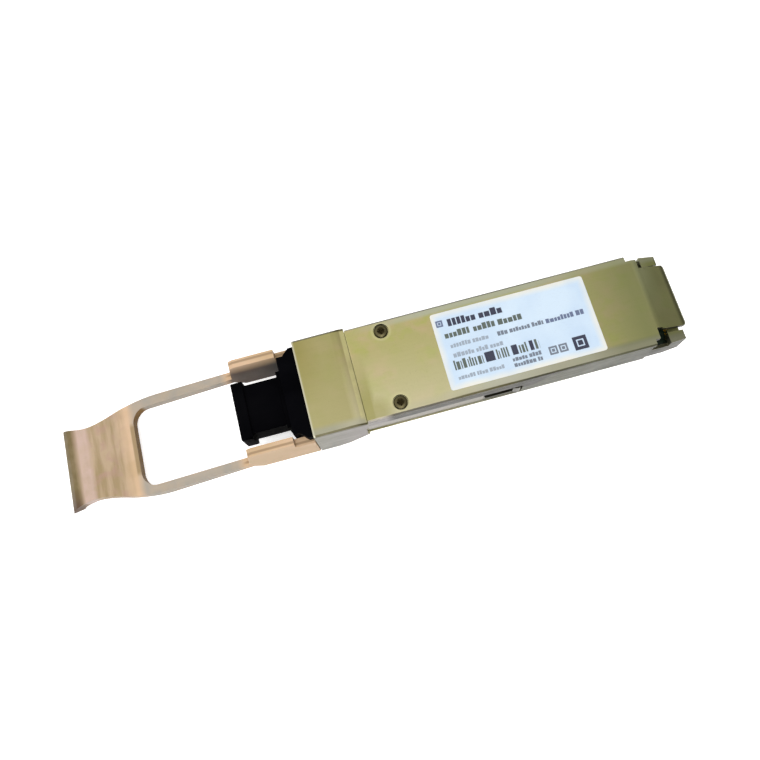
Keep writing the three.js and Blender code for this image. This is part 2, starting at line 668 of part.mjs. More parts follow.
function dustPlug() {
  const rim = chamfered(
    -PLUG_RIM.halfWidth,
    PLUG_RIM.halfWidth,
    AXIS_Z - PLUG_RIM.halfHeight,
    AXIS_Z + PLUG_RIM.halfHeight,
    PLUG_RIM.edge,
  );
  const solid = join(
    lengthwise(rim, PLUG_RIM.front, PLUG_RIM.back),
    axial(PLUG_RIM.back - PLUG_RIM.edge, PLUG_FLANGE.back, PLUG_GRIP.halfWidth, PLUG_GRIP.halfHeight),
    axial(PLUG_FLANGE.front, PLUG_FLANGE.back, PLUG_FLANGE.halfWidth, PLUG_FLANGE.halfHeight),
    axial(PLUG_FLANGE.back, PLUG.skirtEnd, PLUG.skirtHalfWidth, PLUG.skirtHalfHeight),
  );
  const hollow = axial(
    PLUG.hollowFront,
    PLUG.skirtEnd + 1,
    PLUG.skirtHalfWidth - PLUG.wall,
    PLUG.skirtHalfHeight - PLUG.wall,
  );
  return solid.subtract(hollow);
}

// ---------------------------------------------------------------- circuit card and its components

function paddleCard() {
  const half = [
    [CARD.front, CARD.halfWidth],
    [CARD_MOUTH.front, CARD.halfWidth],
    [CARD_MOUTH.front, CARD_MOUTH.halfWidth],
    [CARD.end - CARD.corner, CARD_MOUTH.halfWidth],
    [CARD.end, CARD_MOUTH.halfWidth - CARD.corner],
  ];
  const outline = [...half, ...half.map(([x, y]) => [x, -y]).reverse()];
  let card = upward(outline, CARD.bottom, CARD.top);
  for (const side of Object.values(SIDES)) {
    card = card.subtract(upright(CARD_POST.hole, CARD_POST.x, side * CARD_POST.y, 0, BODY.top));
  }
  return card;
}

// Moulded lens block: two feet, a roof over the laser and photodiode dies, and a mirror groove.
function lensCoupler() {
  const tunnel = centred(COUPLER.tunnelFront, COUPLER.end + 1, COUPLER.foot, 0, COUPLER.roof);
  const entryHalfHeight = RIBBON.thickness / 2 + CLEARANCE;
  const entry = centred(
    COUPLER.front - 1,
    RIBBON.end + CLEARANCE,
    RIBBON.halfWidth + CLEARANCE,
    RIBBON.lift - entryHalfHeight,
    RIBBON.lift + entryHalfHeight,
  );
  const outline = [
    [MIRROR_GROOVE.front, COUPLER.top + CLEARANCE],
    [MIRROR_GROOVE.root, COUPLER.top - MIRROR_GROOVE.depth],
    [MIRROR_GROOVE.end, COUPLER.top + CLEARANCE],
  ];
  const groove = across(outline, -COUPLER.foot, COUPLER.foot);
  const block = centred(COUPLER.front, COUPLER.end, COUPLER.halfWidth, CHIP_BASE, COUPLER.top);
  return cut(block, tunnel, entry, groove);
}

// A component on the card's upper face.
function chip(x0, x1, y0, y1, top, edge = CHIP_EDGE) {
  return lengthwise(chamfered(y0, y1, CHIP_BASE, top, edge), x0, x1);
}

// ---------------------------------------------------------------- scene graph

const FINISHES = {
  nickelDieCast: { color: 0xb3ab7a, roughness: 0.38, metalness: 0.9 },
  steel: { color: 0xb9bcc0, roughness: 0.3, metalness: 1 },
  screwSteel: { color: 0x8f8c7c, roughness: 0.35, metalness: 1 },
  beigePlastic: { color: 0xd2b493, roughness: 0.5, metalness: 0 },
  blackPlastic: { color: 0x0c0c0e, roughness: 0.45, metalness: 0 },
  blackRubber: { color: 0x101012, roughness: 0.6, metalness: 0 },
  glassFilled: { color: 0x2a2d31, roughness: 0.4, metalness: 0 },
  fibre: { color: 0x6fb7c4, roughness: 0.3, metalness: 0 },
  lensResin: { color: 0xc98f3f, roughness: 0.15, metalness: 0 },
  circuitBoard: { color: 0x1f5a34, roughness: 0.5, metalness: 0 },
  chipBlack: { color: 0x1b1b1d, roughness: 0.5, metalness: 0 },
  dieGold: { color: 0xa88f4e, roughness: 0.3, metalness: 0.6 },
  ceramic: { color: 0xb09b7a, roughness: 0.5, metalness: 0 },
  ferrite: { color: 0x3d3d42, roughness: 0.6, metalness: 0 },
  thermalGel: { color: 0x9fb4c8, roughness: 0.8, metalness: 0 },
  gasketGrey: { color: 0x55575a, roughness: 0.8, metalness: 0 },
  paper: { color: 0xe8ebf2, roughness: 0.6, metalness: 0 },
};

function piece(name, solid, finish) {
  const mesh = new THREE.Mesh(geometryOf(solid), new THREE.MeshStandardMaterial(FINISHES[finish]));
  mesh.name = name;
  return mesh;
}

function shellGroup() {
  const group = new THREE.Group();
  group.add(piece("base_housing", baseHousing(), "nickelDieCast"));
  group.add(piece("top_cover", topCover(), "nickelDieCast"));
  for (const [name, side] of Object.entries(SIDES)) {
    const screw = piece("cover_screw_" + name, coverScrew(), "screwSteel");
    screw.position.set(SCREW.x, side * SCREW.y, SCREW.seat);
    group.add(screw, piece("emi_gasket_" + name, gasketStrip(side), "gasketGrey"));
  }
  const outline = rounded(LABEL.front, LABEL.end, -LABEL.halfWidth, LABEL.halfWidth, LABEL.cornerR);
  const bottom = BODY.top + LABEL.lift;
  group.add(piece("product_label", upward(outline, bottom, bottom + LABEL.thickness), "paper"));
  return group;
}

function latchGroup() {
  const group = new THREE.Group();
  group.add(piece("pull_tab", pullTab(), "beigePlastic"));
  group.add(piece("latch_slider", latchSlider(), "steel"));
  for (const [name, side] of Object.entries(SIDES)) {
    const spring = piece("slider_spring_" + name, sliderSpring(), "steel");
    spring.position.set(0, side * SPRING.y, SPRING.z);
    group.add(spring);
  }
  return group;
}

function portGroup() {
  const group = new THREE.Group();
  group.add(piece("mpo_receptacle", mpoReceptacle(), "blackPlastic"));
  group.add(piece("mt_ferrule", mtFerrule(), "glassFilled"));
  group.add(piece("pin_keeper", pinKeeper(), "steel"));
  for (const [name, side] of Object.entries(SIDES)) {
    group.add(piece("guide_pin_" + name, guidePin(side), "steel"));
  }
  group.add(piece("fibre_ribbon", fibreRibbon(), "fibre"));
  group.add(piece("dust_plug", dustPlug(), "blackRubber"));
  return group;
}

// One chip or die on each side of the centre line: right first, then left.
function pairOfChips({ front, end, near, far, top, edge }) {
  return [chip(front, end, -far, -near, top, edge), chip(front, end, near, far, top, edge)];
}

function capacitors() {
  const { fronts, length, y, halfWidth, top } = CAPACITOR;
  return fronts.flatMap((front, row) =>
    Object.entries(SIDES).map(([name, side]) => {
      const solid = chip(front, front + length, side * y - halfWidth, side * y + halfWidth, top);
      return piece(`filter_capacitor_${name}_${row + 1}`, solid, "ceramic");
    }),
  );
}

// Heat-conducting pad between two flat faces, a little smaller than the pedestal that it sits on.
function thermalPad({ front, end, halfWidth }, below, above) {
  return centred(
    front + PAD_INSET,
    end - PAD_INSET,
    halfWidth - PAD_INSET,
    below + CLEARANCE,
    above - CLEARANCE,
  );
}

function cardGroup() {
  const group = new THREE.Group();
  const [vcsels, photodiodes] = pairOfChips(DIE);
  const [driver, receiver] = pairOfChips(CHIP_ROW);
  const controller = chip(
    CONTROLLER.front,
    CONTROLLER.end,
    -CONTROLLER.halfWidth,
    CONTROLLER.halfWidth,
    CONTROLLER.top,
  );
  const inductor = chip(
    INDUCTOR.front,
    INDUCTOR.end,
    -INDUCTOR.halfWidth,
    INDUCTOR.halfWidth,
    INDUCTOR.top,
    INDUCTOR.edge,
  );
  group.add(
    piece("paddle_card", paddleCard(), "circuitBoard"),
    piece("lens_coupler", lensCoupler(), "lensResin"),
    piece("vcsel_array", vcsels, "dieGold"),
    piece("photodiode_array", photodiodes, "dieGold"),
    piece("laser_driver_ic", driver, "chipBlack"),
    piece("receiver_ic", receiver, "chipBlack"),
    piece("microcontroller", controller, "chipBlack"),
    piece("power_inductor", inductor, "ferrite"),
    ...capacitors(),
    piece("thermal_pad_cover", thermalPad(PEDESTAL, CHIP_ROW.top, PEDESTAL.bottom), "thermalGel"),
    piece("thermal_pad_floor", thermalPad(FLOOR_PEDESTAL, FLOOR_PEDESTAL.top, CARD.bottom), "thermalGel"),
  );
  return group;
}

const transceiver = new THREE.Group();
transceiver.add(shellGroup(), latchGroup(), portGroup(), cardGroup());

export default transceiver;
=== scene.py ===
"""Looks of the optical transceiver module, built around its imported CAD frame. Metres, row frame."""

import json
import math
import random

import bmesh
import bpy
from mathutils import Matrix, Vector


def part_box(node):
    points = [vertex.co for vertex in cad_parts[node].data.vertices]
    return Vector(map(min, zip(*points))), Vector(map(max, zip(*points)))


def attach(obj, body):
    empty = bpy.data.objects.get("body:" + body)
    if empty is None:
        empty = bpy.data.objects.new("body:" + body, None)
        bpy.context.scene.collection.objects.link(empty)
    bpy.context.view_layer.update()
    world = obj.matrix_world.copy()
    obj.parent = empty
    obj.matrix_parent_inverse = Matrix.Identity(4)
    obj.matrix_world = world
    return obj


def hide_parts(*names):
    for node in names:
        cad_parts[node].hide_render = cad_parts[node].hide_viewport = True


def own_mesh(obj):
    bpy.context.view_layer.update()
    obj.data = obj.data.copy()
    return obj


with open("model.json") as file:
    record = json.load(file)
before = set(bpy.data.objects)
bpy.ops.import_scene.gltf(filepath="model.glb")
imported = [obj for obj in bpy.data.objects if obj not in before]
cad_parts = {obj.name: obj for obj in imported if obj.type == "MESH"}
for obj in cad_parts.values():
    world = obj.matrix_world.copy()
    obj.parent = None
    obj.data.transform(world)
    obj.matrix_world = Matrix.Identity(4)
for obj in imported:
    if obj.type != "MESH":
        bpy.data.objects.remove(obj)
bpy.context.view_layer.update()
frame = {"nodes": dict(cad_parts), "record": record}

MM = 0.001
NODES = frame["nodes"]
BODY_OF = {node: body for body, nodes in frame["record"]["behaviour"]["bodies"].items() for node in nodes}
SLOT_OF = {part["node"]: part["material_slot"] for part in frame["record"]["subparts"]}

# Places on the module, in millimetres: X along it to the edge connector, Y across to the left, Z up.
GRIP_BEND = -67.5  # X where the pull tab turns down into its lip
WINDOW_END = -55.0  # X of the front end of the tab's window, where its grip begins
TAB_ARM_FRONT = -33.6  # X where the tab's rails meet its tall arms
CHIN_END = -17.5  # X of the rear edge of the chin under the nose
STEP = -10.0  # X where the nose ends and the cover begins
TRAY_END = 44.6  # X of the rear edge of the bottom face
HOOD_FRONT = 46.0  # X where the cover starts to slope down over the edge connector
NOSE_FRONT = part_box("base_housing")[0].x / MM
NOSE_HALF_WIDTH, NOSE_TOP = (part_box("base_housing")[1] / MM).yz
COVER_END, COVER_HALF_WIDTH, COVER_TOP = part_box("top_cover")[1] / MM
SLIDER_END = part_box("latch_slider")[1].x / MM
SCREW_LOW, SCREW_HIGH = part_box("cover_screw_left")
SCREW_X, SCREW_Y = ((SCREW_LOW + SCREW_HIGH) / 2 / MM).xy


def srgb(red, green, blue):
    """A colour given as 8-bit display values, as linear RGBA."""
    channels = [value / 255 for value in (red, green, blue)]
    linear = [c / 12.92 if c <= 0.04045 else ((c + 0.055) / 1.055) ** 2.4 for c in channels]
    return (*linear, 1.0)


# ---------------------------------------------------------------- node materials


class Surface:
    """A Principled material that is put together call by call. Sizes are in millimetres on the object."""

    MIX_FIRST, MIX_SECOND, MIX_RESULT = 6, 7, 2  # the colour sockets of a Mix node
    BAND_PERIOD = 0.314  # metres between the bands of a Wave texture of scale 1

    def __init__(self, name, **constants):
        self.material = bpy.data.materials.new(name)
        self.material.use_nodes = True
        self.tree = self.material.node_tree
        self.tree.nodes.clear()
        self.bsdf = self.add("ShaderNodeBsdfPrincipled")
        output = self.add("ShaderNodeOutputMaterial")
        self.tree.links.new(self.bsdf.outputs["BSDF"], output.inputs["Surface"])
        self.place = self.add("ShaderNodeTexCoord").outputs["Object"]
        for socket, value in constants.items():
            self.bsdf.inputs[socket.replace("_", " ")].default_value = value

    def add(self, kind, **settings):
        """A node of a kind, with its settings."""
        node = self.tree.nodes.new(kind)
        for key, value in settings.items():
            setattr(node, key, value)
        return node

    def feed(self, socket, value):
        """Links an output, or sets a constant."""
        if isinstance(value, bpy.types.NodeSocket):
            self.tree.links.new(value, socket)
        else:
            socket.default_value = value

    def stretched(self, stretch):
        """Object position, scaled along each axis."""
        mapping = self.add("ShaderNodeMapping")
        mapping.inputs["Scale"].default_value = stretch
        self.feed(mapping.inputs["Vector"], self.place)
        return mapping.outputs["Vector"]

    def noise(self, size, detail=2.0, stretch=None, roughness=0.5):
        """Cloudy noise with features of a size in millimetres."""
        node = self.add("ShaderNodeTexNoise")
        self.feed(node.inputs["Vector"], self.stretched(stretch) if stretch else self.place)
        node.inputs["Scale"].default_value = 1 / (size * MM)
        node.inputs["Detail"].default_value = detail
        node.inputs["Roughness"].default_value = roughness
        return node.outputs["Fac"]

    def cells(self, size):
        """Distance from the nearest of many scattered points."""
        node = self.add("ShaderNodeTexVoronoi")
        self.feed(node.inputs["Vector"], self.place)
        node.inputs["Scale"].default_value = 1 / (size * MM)
        return node.outputs["Distance"]

    def waves(self, size, direction, distortion=0.0):
        """Bands of a width in millimetres."""
        node = self.add("ShaderNodeTexWave", wave_type="BANDS", bands_direction=direction)
        self.feed(node.inputs["Vector"], self.place)
        node.inputs["Scale"].default_value = self.BAND_PERIOD / (size * MM)
        node.inputs["Distortion"].default_value = distortion
        return node.outputs["Fac"]

    def remap(self, value, low, high, to_low=0.0, to_high=1.0):
        """A straight ramp between two values, level outside them."""
        node = self.add("ShaderNodeMapRange", clamp=True)
        for index, item in enumerate((value, low, high, to_low, to_high)):
            self.feed(node.inputs[index], item)
        return node.outputs[0]

    def maths(self, operation, first, second=0.0):
        """One sum, product or the like, of outputs or constants."""
        node = self.add("ShaderNodeMath", operation=operation)
        self.feed(node.inputs[0], first)
        self.feed(node.inputs[1], second)
        return node.outputs[0]

    def mix(self, first, second, factor):
        """A colour between two, by a factor from 0 to 1."""
        node = self.add("ShaderNodeMix", data_type="RGBA")
        self.feed(node.inputs["Factor"], factor)
        self.feed(node.inputs[self.MIX_FIRST], first)
        self.feed(node.inputs[self.MIX_SECOND], second)
        return node.outputs[self.MIX_RESULT]

    def along(self, axis):
        """Position along one axis, in millimetres."""
        node = self.add("ShaderNodeSeparateXYZ")
        self.feed(node.inputs[0], self.place)
        return self.maths("MULTIPLY", node.outputs[axis], 1 / MM)

    def across(self):
        """Distance from the centre plane, in millimetres."""
        return self.maths("ABSOLUTE", self.along(1))

    def within(self, value, low, high, soft):
        """1 between two bounds, fading to 0 over the soft width outside them."""
        rise = self.remap(value, low - soft, low)
        fall = self.remap(value, high, high + soft, 1.0, 0.0)
        return self.maths("MULTIPLY", rise, fall)

    def both(self, *masks):
        """1 where all the masks are 1."""
        result = masks[0]
        for mask in masks[1:]:
            result = self.maths("MULTIPLY", result, mask)
        return result

    def distance_to(self, x, y):
        """Distance in plan from an upright axis, and from its mirror image across the centre plane."""
        dx = self.maths("SUBTRACT", self.along(0), x)
        dy = self.maths("SUBTRACT", self.across(), y)
        square = self.maths("ADD", self.maths("MULTIPLY", dx, dx), self.maths("MULTIPLY", dy, dy))
        return self.maths("SQRT", square)

    def lean(self, axis):
        """How far a face looks along an axis, from -1 to 1."""
        node = self.add("ShaderNodeSeparateXYZ")
        self.feed(node.inputs[0], self.add("ShaderNodeNewGeometry").outputs["Normal"])
        return node.outputs[axis]

    def facing(self, axis):
        """1 on faces that look along an axis, either way."""
        return self.remap(self.maths("ABSOLUTE", self.lean(axis)), 0.4, 0.8)

    def edges(self, radius):
        """1 on outer and inner edges, 0 on flat stretches."""
        bevel = self.add("ShaderNodeBevel", samples=6)
        bevel.inputs["Radius"].default_value = radius * MM
        geometry = self.add("ShaderNodeNewGeometry")
        dot = self.add("ShaderNodeVectorMath", operation="DOT_PRODUCT")
        self.feed(dot.inputs[0], bevel.outputs["Normal"])
        self.feed(dot.inputs[1], geometry.outputs["Normal"])
        return self.remap(dot.outputs["Value"], 0.88, 0.998, 1.0, 0.0)

    def bump(self, height, depth, strength, under=None):
        """Relief of a depth in millimetres, on top of another relief where one is given."""
        node = self.add("ShaderNodeBump")
        node.inputs["Distance"].default_value = depth * MM
        node.inputs["Strength"].default_value = strength
        self.feed(node.inputs["Height"], height)
        if under is not None:
            self.feed(node.inputs["Normal"], under)
        return node.outputs["Normal"]

    def finish(self, colour, roughness, normal=None, **others):
        """Links what was worked out to the shader."""
        inputs = {"Base Color": colour, "Roughness": roughness}
        if normal is not None:
            inputs["Normal"] = normal
        inputs.update({socket.replace("_", " "): value for socket, value in others.items()})
        for socket, value in inputs.items():
            self.feed(self.bsdf.inputs[socket], value)
        return self.material


def cover_colour(s, grain, patches):
    """Olive top faces of the casting, before their edges: yellower, greener or paler in patches, with
    painted shade and painted highlights by place.
    """
    clouds = s.noise(6, detail=3)
    x, left, z = s.along(0), s.along(1), s.along(2)
    olive = s.mix(srgb(163, 158, 108), srgb(172, 158, 118), s.remap(clouds, 0.42, 0.6))
    olive = s.mix(olive, srgb(158, 161, 92), s.remap(patches, 0.5, 0.68, 0.0, 0.75))
    # Painted highlight: paler towards the near side, over the front half of the top.
    near_painted_highlight = s.both(s.remap(left, 4, -9, 0.0, 0.75), s.remap(x, 20, 6))
    olive = s.mix(olive, srgb(182, 176, 144), near_painted_highlight)
    # Painted shade: darker towards the rear.
    olive = s.mix(olive, srgb(120, 124, 82), s.remap(x, 30, 44, 0.0, 0.8))
    hood_start = s.remap(x, HOOD_FRONT - 0.4, HOOD_FRONT + 0.4)
    hood_start = s.both(hood_start, s.remap(x, HOOD_FRONT + 4, HOOD_FRONT + 1.5))
    olive = s.mix(olive, srgb(148, 150, 110), s.both(hood_start, s.remap(left, -4, 5)))

    # Painted shade: the nose darker in front of the ramp at the step, and darker still at its front towards
    # the far side.
    olive = s.mix(olive, srgb(148, 142, 96), s.remap(x, STEP - 1.5, STEP - 2.6, 0.0, 0.75))
    nose_front = s.both(s.remap(x, NOSE_FRONT + 5, NOSE_FRONT + 1), s.remap(left, -4, 6, 0.0, 0.7))
    olive = s.mix(olive, srgb(138, 130, 76), nose_front)
    # Painted shade: a darker band just in front of the ridge at the step.
    before_ridge = s.both(s.within(x, STEP - 2.3, STEP - 1.0, 0.4), s.remap(left, 9, 0, 0.4, 0.08))
    olive = s.mix(olive, srgb(130, 124, 80), before_ridge)
    # Painted highlight on top of the ridge at the step.
    ridge = s.within(x, STEP - 0.75, STEP + 0.05, 0.2)
    ridge_highlight = s.both(ridge, s.facing(2), s.remap(patches, 0.35, 0.6, 0.5, 0.95))
    olive = s.mix(olive, srgb(200, 194, 138), ridge_highlight)
    on_top = s.both(s.facing(2), s.remap(z, COVER_TOP - 0.9, COVER_TOP - 0.7))
    screw_ring = s.both(s.within(s.distance_to(SCREW_X, SCREW_Y), 1.4, 1.75, 0.35), on_top)
    olive = s.mix(olive, srgb(184, 180, 136), s.both(screw_ring, s.remap(grain, 0.3, 0.6, 0.2, 0.6)))
    # Painted shade at the rear end of the hood.
    hood_end = s.both(s.remap(x, COVER_END - 1.2, COVER_END - 0.6), s.remap(patches, 0.3, 0.6, 0.6, 0.95))
    return s.mix(olive, srgb(76, 76, 52), hood_end)


def cover_edges(s, olive, from_far, from_near):
    """Greyer strips along both long edges of the top faces; the near one darker towards the rear with
    painted shade.
    """
    x = s.along(0)
    far_strip = s.both(s.remap(from_far, 1.7, 1.0), s.remap(x, STEP + 1, 4), s.remap(x, 36, 26, 0.4, 0.9))
    olive = s.mix(olive, srgb(164, 167, 146), far_strip)
    # Near strip: greyer, and darker towards the rear as painted shade.
    near_strip_tone = s.mix(srgb(170, 171, 158), srgb(154, 155, 138), s.remap(x, 18, 26))
    near_strip_tone = s.mix(near_strip_tone, srgb(118, 120, 96), s.remap(x, 32, 39))
    near_strip = s.both(s.remap(from_near, 2.2, 1.4), s.remap(x, 4, 14, 0.0, 0.85))
    olive = s.mix(olive, near_strip_tone, near_strip)
    nose_grey = s.mix(srgb(163, 160, 140), srgb(148, 147, 130), s.remap(x, STEP - 3, STEP - 6))
    nose_strip = s.both(s.remap(from_near, 1.9, 0.9), s.remap(x, STEP, STEP - 0.4, 0.3, 0.85))
    return s.mix(olive, nose_grey, nose_strip)


def step_painted_shadow(s, olive):
    """Colour with the painted shadow behind the nose's step, and the mask of its near end."""
    x, left = s.along(0), s.along(1)
    behind_step = s.remap(x, STEP - 0.1, STEP + 0.05)
    foot = s.both(s.within(x, STEP, STEP + 1.6, 1.0), s.remap(left, 4, -5), behind_step)
    near_end = s.remap(s.distance_to(STEP + 2.2, 8.0), 3.6, 1.4, 0.0, 0.7)
    near_end = s.both(near_end, s.remap(left, 2, -2), behind_step)
    # Painted shadow at the foot of the step and at its near end.
    step_shadow = s.maths("MULTIPLY", s.maths("MAXIMUM", foot, near_end), 0.85)
    return s.mix(olive, srgb(142, 138, 86), step_shadow), near_end


def flank_colour(s):
    """Grey side faces, darker towards the edge connector as painted shade, with a brown line of painted
    shade along the nose's upper edge.
    """
    x, z = s.along(0), s.along(2)
    flank = s.mix(srgb(108, 107, 98), srgb(116, 111, 110), s.remap(x, NOSE_FRONT + 1, STEP))
    # Painted shade: the flanks darker towards the rear, step by step.
    darker = [
        (5, 14, srgb(88, 89, 75)),
        (17, 21, srgb(74, 75, 62)),
        (28, 40, srgb(62, 63, 50)),
        (41, 46, srgb(52, 51, 39)),
    ]
    for start, end, colour in darker:
        flank = s.mix(flank, colour, s.remap(x, start, end))
    # Painted shade along the nose's upper edge.
    nose_edge = s.remap(z, NOSE_TOP - 1.0, NOSE_TOP - 0.6)
    nose_edge = s.both(nose_edge, s.remap(x, STEP + 0.1, STEP - 0.1, 0.0, 0.7))
    return s.mix(flank, srgb(66, 64, 50), nose_edge)


def flank_painted_shadow(s):
    """Dark painted shadow on the flanks above the latch arm, narrowing to a line under the cover further
    back.
    """
    x, z = s.along(0), s.along(2)
    low = s.maths("ADD", s.remap(x, 14, 18, 3.9, 2.6), s.remap(x, 22, 25, 0.0, 3.7))
    full = s.maths("ADD", low, s.remap(x, 12, 18, 0.3, 1.3))
    above_arm = s.both(s.facing(1), s.remap(z, low, full))
    return s.both(above_arm, s.remap(x, STEP + 3.4, STEP + 5), s.remap(x, 36, 25, 0.0, 0.95))


def nickel_cast():
    """Olive nickel over a zinc casting: satin, fine grain, mottled, with greyer flanks, and painted shade
    and painted highlights along edges, in recesses and towards the rear.
    """
    s = Surface("nickel_cast", Metallic=1.0)
    patches = s.noise(3.2, detail=4, stretch=(0.8, 1, 1))
    grain = s.noise(0.2, detail=3, roughness=0.6)
    streaks = s.noise(0.5, detail=4, stretch=(0.05, 1, 1))
    x, left, y, z = s.along(0), s.along(1), s.across(), s.along(2)

    half_width = s.remap(x, STEP - 0.02, STEP + 0.02, NOSE_HALF_WIDTH, COVER_HALF_WIDTH)
    from_far = s.maths("SUBTRACT", half_width, left)
    from_near = s.maths("ADD", half_width, left)
    olive = cover_edges(s, cover_colour(s, grain, patches), from_far, from_near)
    # Painted shadow behind the nose's step.
    olive, step_shadow = step_painted_shadow(s, olive)
    colour = s.mix(olive, flank_colour(s), s.facing(1))
    # Painted shadow on the flanks above the latch arm.
    above_arm = flank_painted_shadow(s)
    colour = s.mix(colour, srgb(30, 28, 21), above_arm)
    # Painted shade in the notches at the corners of the hood.
    hood_corner = s.within(x, HOOD_FRONT - 1.1, HOOD_FRONT + 2.2, 0.3)
    hood_corner = s.both(hood_corner, s.remap(y, 5.8, 6.2), s.remap(z, COVER_TOP - 0.6, COVER_TOP - 1.3))
    colour = s.mix(colour, srgb(40, 39, 26), s.maths("MULTIPLY", hood_corner, 0.9))
    # Painted shade in the latch pocket.
    latch_pocket = s.both(s.within(x, SLIDER_END - 7.2, SLIDER_END, 0.1), s.within(z, -0.5, 5.4, 0.1))
    latch_pocket = s.both(latch_pocket, s.within(y, 7.5, 8.6, 0.3))
    colour = s.mix(colour, srgb(20, 19, 15), latch_pocket)

    # Painted shade: a dark line on the top edges, full along the nose and the near side's middle, faint
    # elsewhere.
    at_edge = s.maths("MAXIMUM", s.remap(from_far, 0.5, 0.3), s.remap(from_near, 0.42, 0.26))
    near_middle = s.both(s.within(x, 8, 17, 3), s.remap(left, 0, -1))
    edge_shade_reach = s.maths("MAXIMUM", s.remap(x, STEP - 0.1, STEP + 0.1, 1.0, 0.1), near_middle)
    edge_shade = s.both(at_edge, s.remap(z, COVER_TOP - 0.75, COVER_TOP - 0.55), edge_shade_reach)
    colour = s.mix(colour, srgb(74, 70, 50), s.both(edge_shade, s.remap(patches, 0.3, 0.6, 0.75, 0.95)))
    colour = s.mix(colour, srgb(120, 112, 84), s.remap(grain, 0.58, 0.8, 0.0, 0.3))
    # Painted highlight along the nose's front top edge.
    rim = s.remap(x, NOSE_FRONT + 0.4, NOSE_FRONT + 0.15)
    rim = s.both(rim, s.remap(z, NOSE_TOP - 0.7, NOSE_TOP - 0.2))
    colour = s.mix(colour, srgb(190, 188, 170), s.maths("MULTIPLY", rim, 0.7))
    rubbed = s.remap(s.noise(1.1, detail=4), 0.4, 0.62, 0.0, 0.45)
    # Rubbed edges are kept off the painted edge shade, the painted shadow above the latch arm and the near
    # end of the step's painted shadow.
    unworn = s.maths("MAXIMUM", s.maths("MAXIMUM", edge_shade, above_arm), step_shadow)
    wear = s.both(s.edges(0.14), rubbed, s.remap(unworn, 0.0, 1.0, 1.0, 0.15))
    colour = s.mix(colour, srgb(192, 186, 150), wear)

    rough = s.maths("ADD", s.remap(patches, 0.3, 0.7, 0.36, 0.45), s.remap(streaks, 0.45, 0.7, 0.0, 0.06))
    rough = s.maths("SUBTRACT", rough, s.maths("MULTIPLY", wear, 0.15))
    normal = s.bump(grain, 0.014, 0.55)
    normal = s.bump(streaks, 0.006, 0.25, under=normal)
    return s.finish(colour, rough, normal)


def dark_screw():
    """Blackened screw, its dark colour partly painted shade from its counterbore: darker still as painted
    shade in its recess, rubbed bright on the edge of its head.
    """
    s = Surface("screw_steel", Metallic=1.0)
    brush = s.noise(0.08, detail=4)
    # Painted shade in the screw's recess.
    recess_shade = s.remap(s.distance_to(SCREW_X, SCREW_Y), 0.85, 0.55)
    colour = s.mix(srgb(104, 98, 70), srgb(66, 60, 40), s.remap(brush, 0.35, 0.65))
    colour = s.mix(colour, srgb(40, 34, 18), recess_shade)
    colour = s.mix(colour, srgb(150, 144, 112), s.maths("MULTIPLY", s.edges(0.06), 0.6))
    return s.finish(colour, s.remap(brush, 0.3, 0.7, 0.3, 0.48), s.bump(brush, 0.008, 0.5))


def spring_steel():
    """Sheet steel with rolling marks along the part, a few scratches, and painted shade towards the rear and
    on its end in the latch pocket.
    """
    s = Surface("spring_steel", Metallic=1.0)
    light, dark = srgb(130, 126, 121), srgb(96, 92, 88)
    brush = s.noise(0.12, detail=5, stretch=(0.02, 1, 1), roughness=0.65)
    scratches = s.remap(s.noise(0.4, detail=2, stretch=(0.03, 1, 1)), 0.66, 0.72)
    stains = s.noise(4, detail=3)
    x = s.along(0)
    colour = s.mix(dark, light, s.remap(brush, 0.3, 0.7))
    colour = s.mix(colour, dark, s.remap(stains, 0.5, 0.8, 0.0, 0.4))
    colour = s.mix(colour, light, s.edges(0.08))
    # Painted shade: darker towards the rear, as on the flanks.
    colour = s.mix(colour, srgb(108, 105, 94), s.remap(x, 2, 12, 0.0, 0.9))
    # Painted shade on the end in the latch pocket.
    pocket_shade = s.within(x, SLIDER_END - 7.0, SLIDER_END - 0.4, 0.4)
    pocket_shade = s.both(pocket_shade, s.remap(s.across(), 8, 8.4))
    colour = s.mix(colour, srgb(58, 56, 48), pocket_shade)
    rough = s.maths("ADD", s.remap(brush, 0.3, 0.7, 0.24, 0.38), s.maths("MULTIPLY", scratches, 0.12))
    normal = s.bump(brush, 0.006, 0.5)
    normal = s.bump(scratches, 0.01, 0.3, under=normal)
    return s.finish(colour, rough, normal)


def moulded(name, base, light, dark, rough=(0.45, 0.6), grain=0.16, depth=0.012, **constants):
    """Injection-moulded plastic or rubber: eroded-mould grain, soft flow marks, and a painted highlight on
    its edges.

    Gives the surface, its colour, roughness and normal, so that more can be laid over them.
    """
    s = Surface(name, **constants)
    flow = s.noise(7, detail=3, stretch=(0.6, 1, 1))
    fine = s.noise(grain, detail=2, roughness=0.6)
    pores = s.cells(grain * 2.2)
    dust = s.remap(s.noise(0.35, detail=3), 0.66, 0.78)
    colour = s.mix(base, light, s.remap(flow, 0.45, 0.75))
    colour = s.mix(colour, dark, s.remap(flow, 0.5, 0.25))
    colour = s.mix(colour, dark, s.remap(fine, 0.55, 0.8, 0.0, 0.3))
    # Painted highlight on the edges.
    colour = s.mix(colour, light, s.maths("MULTIPLY", s.edges(0.25), 0.45))
    roughness = s.maths("ADD", s.remap(flow, 0.3, 0.7, *rough), s.maths("MULTIPLY", dust, 0.12))
    normal = s.bump(fine, depth, 0.6)
    normal = s.bump(pores, depth * 0.7, 0.35, under=normal)
    return s, colour, roughness, normal


def plain_moulded(*arguments, **keywords):
    """A moulding with nothing more laid over it."""
    surface, colour, roughness, normal = moulded(*arguments, **keywords)
    return surface.finish(colour, roughness, normal)


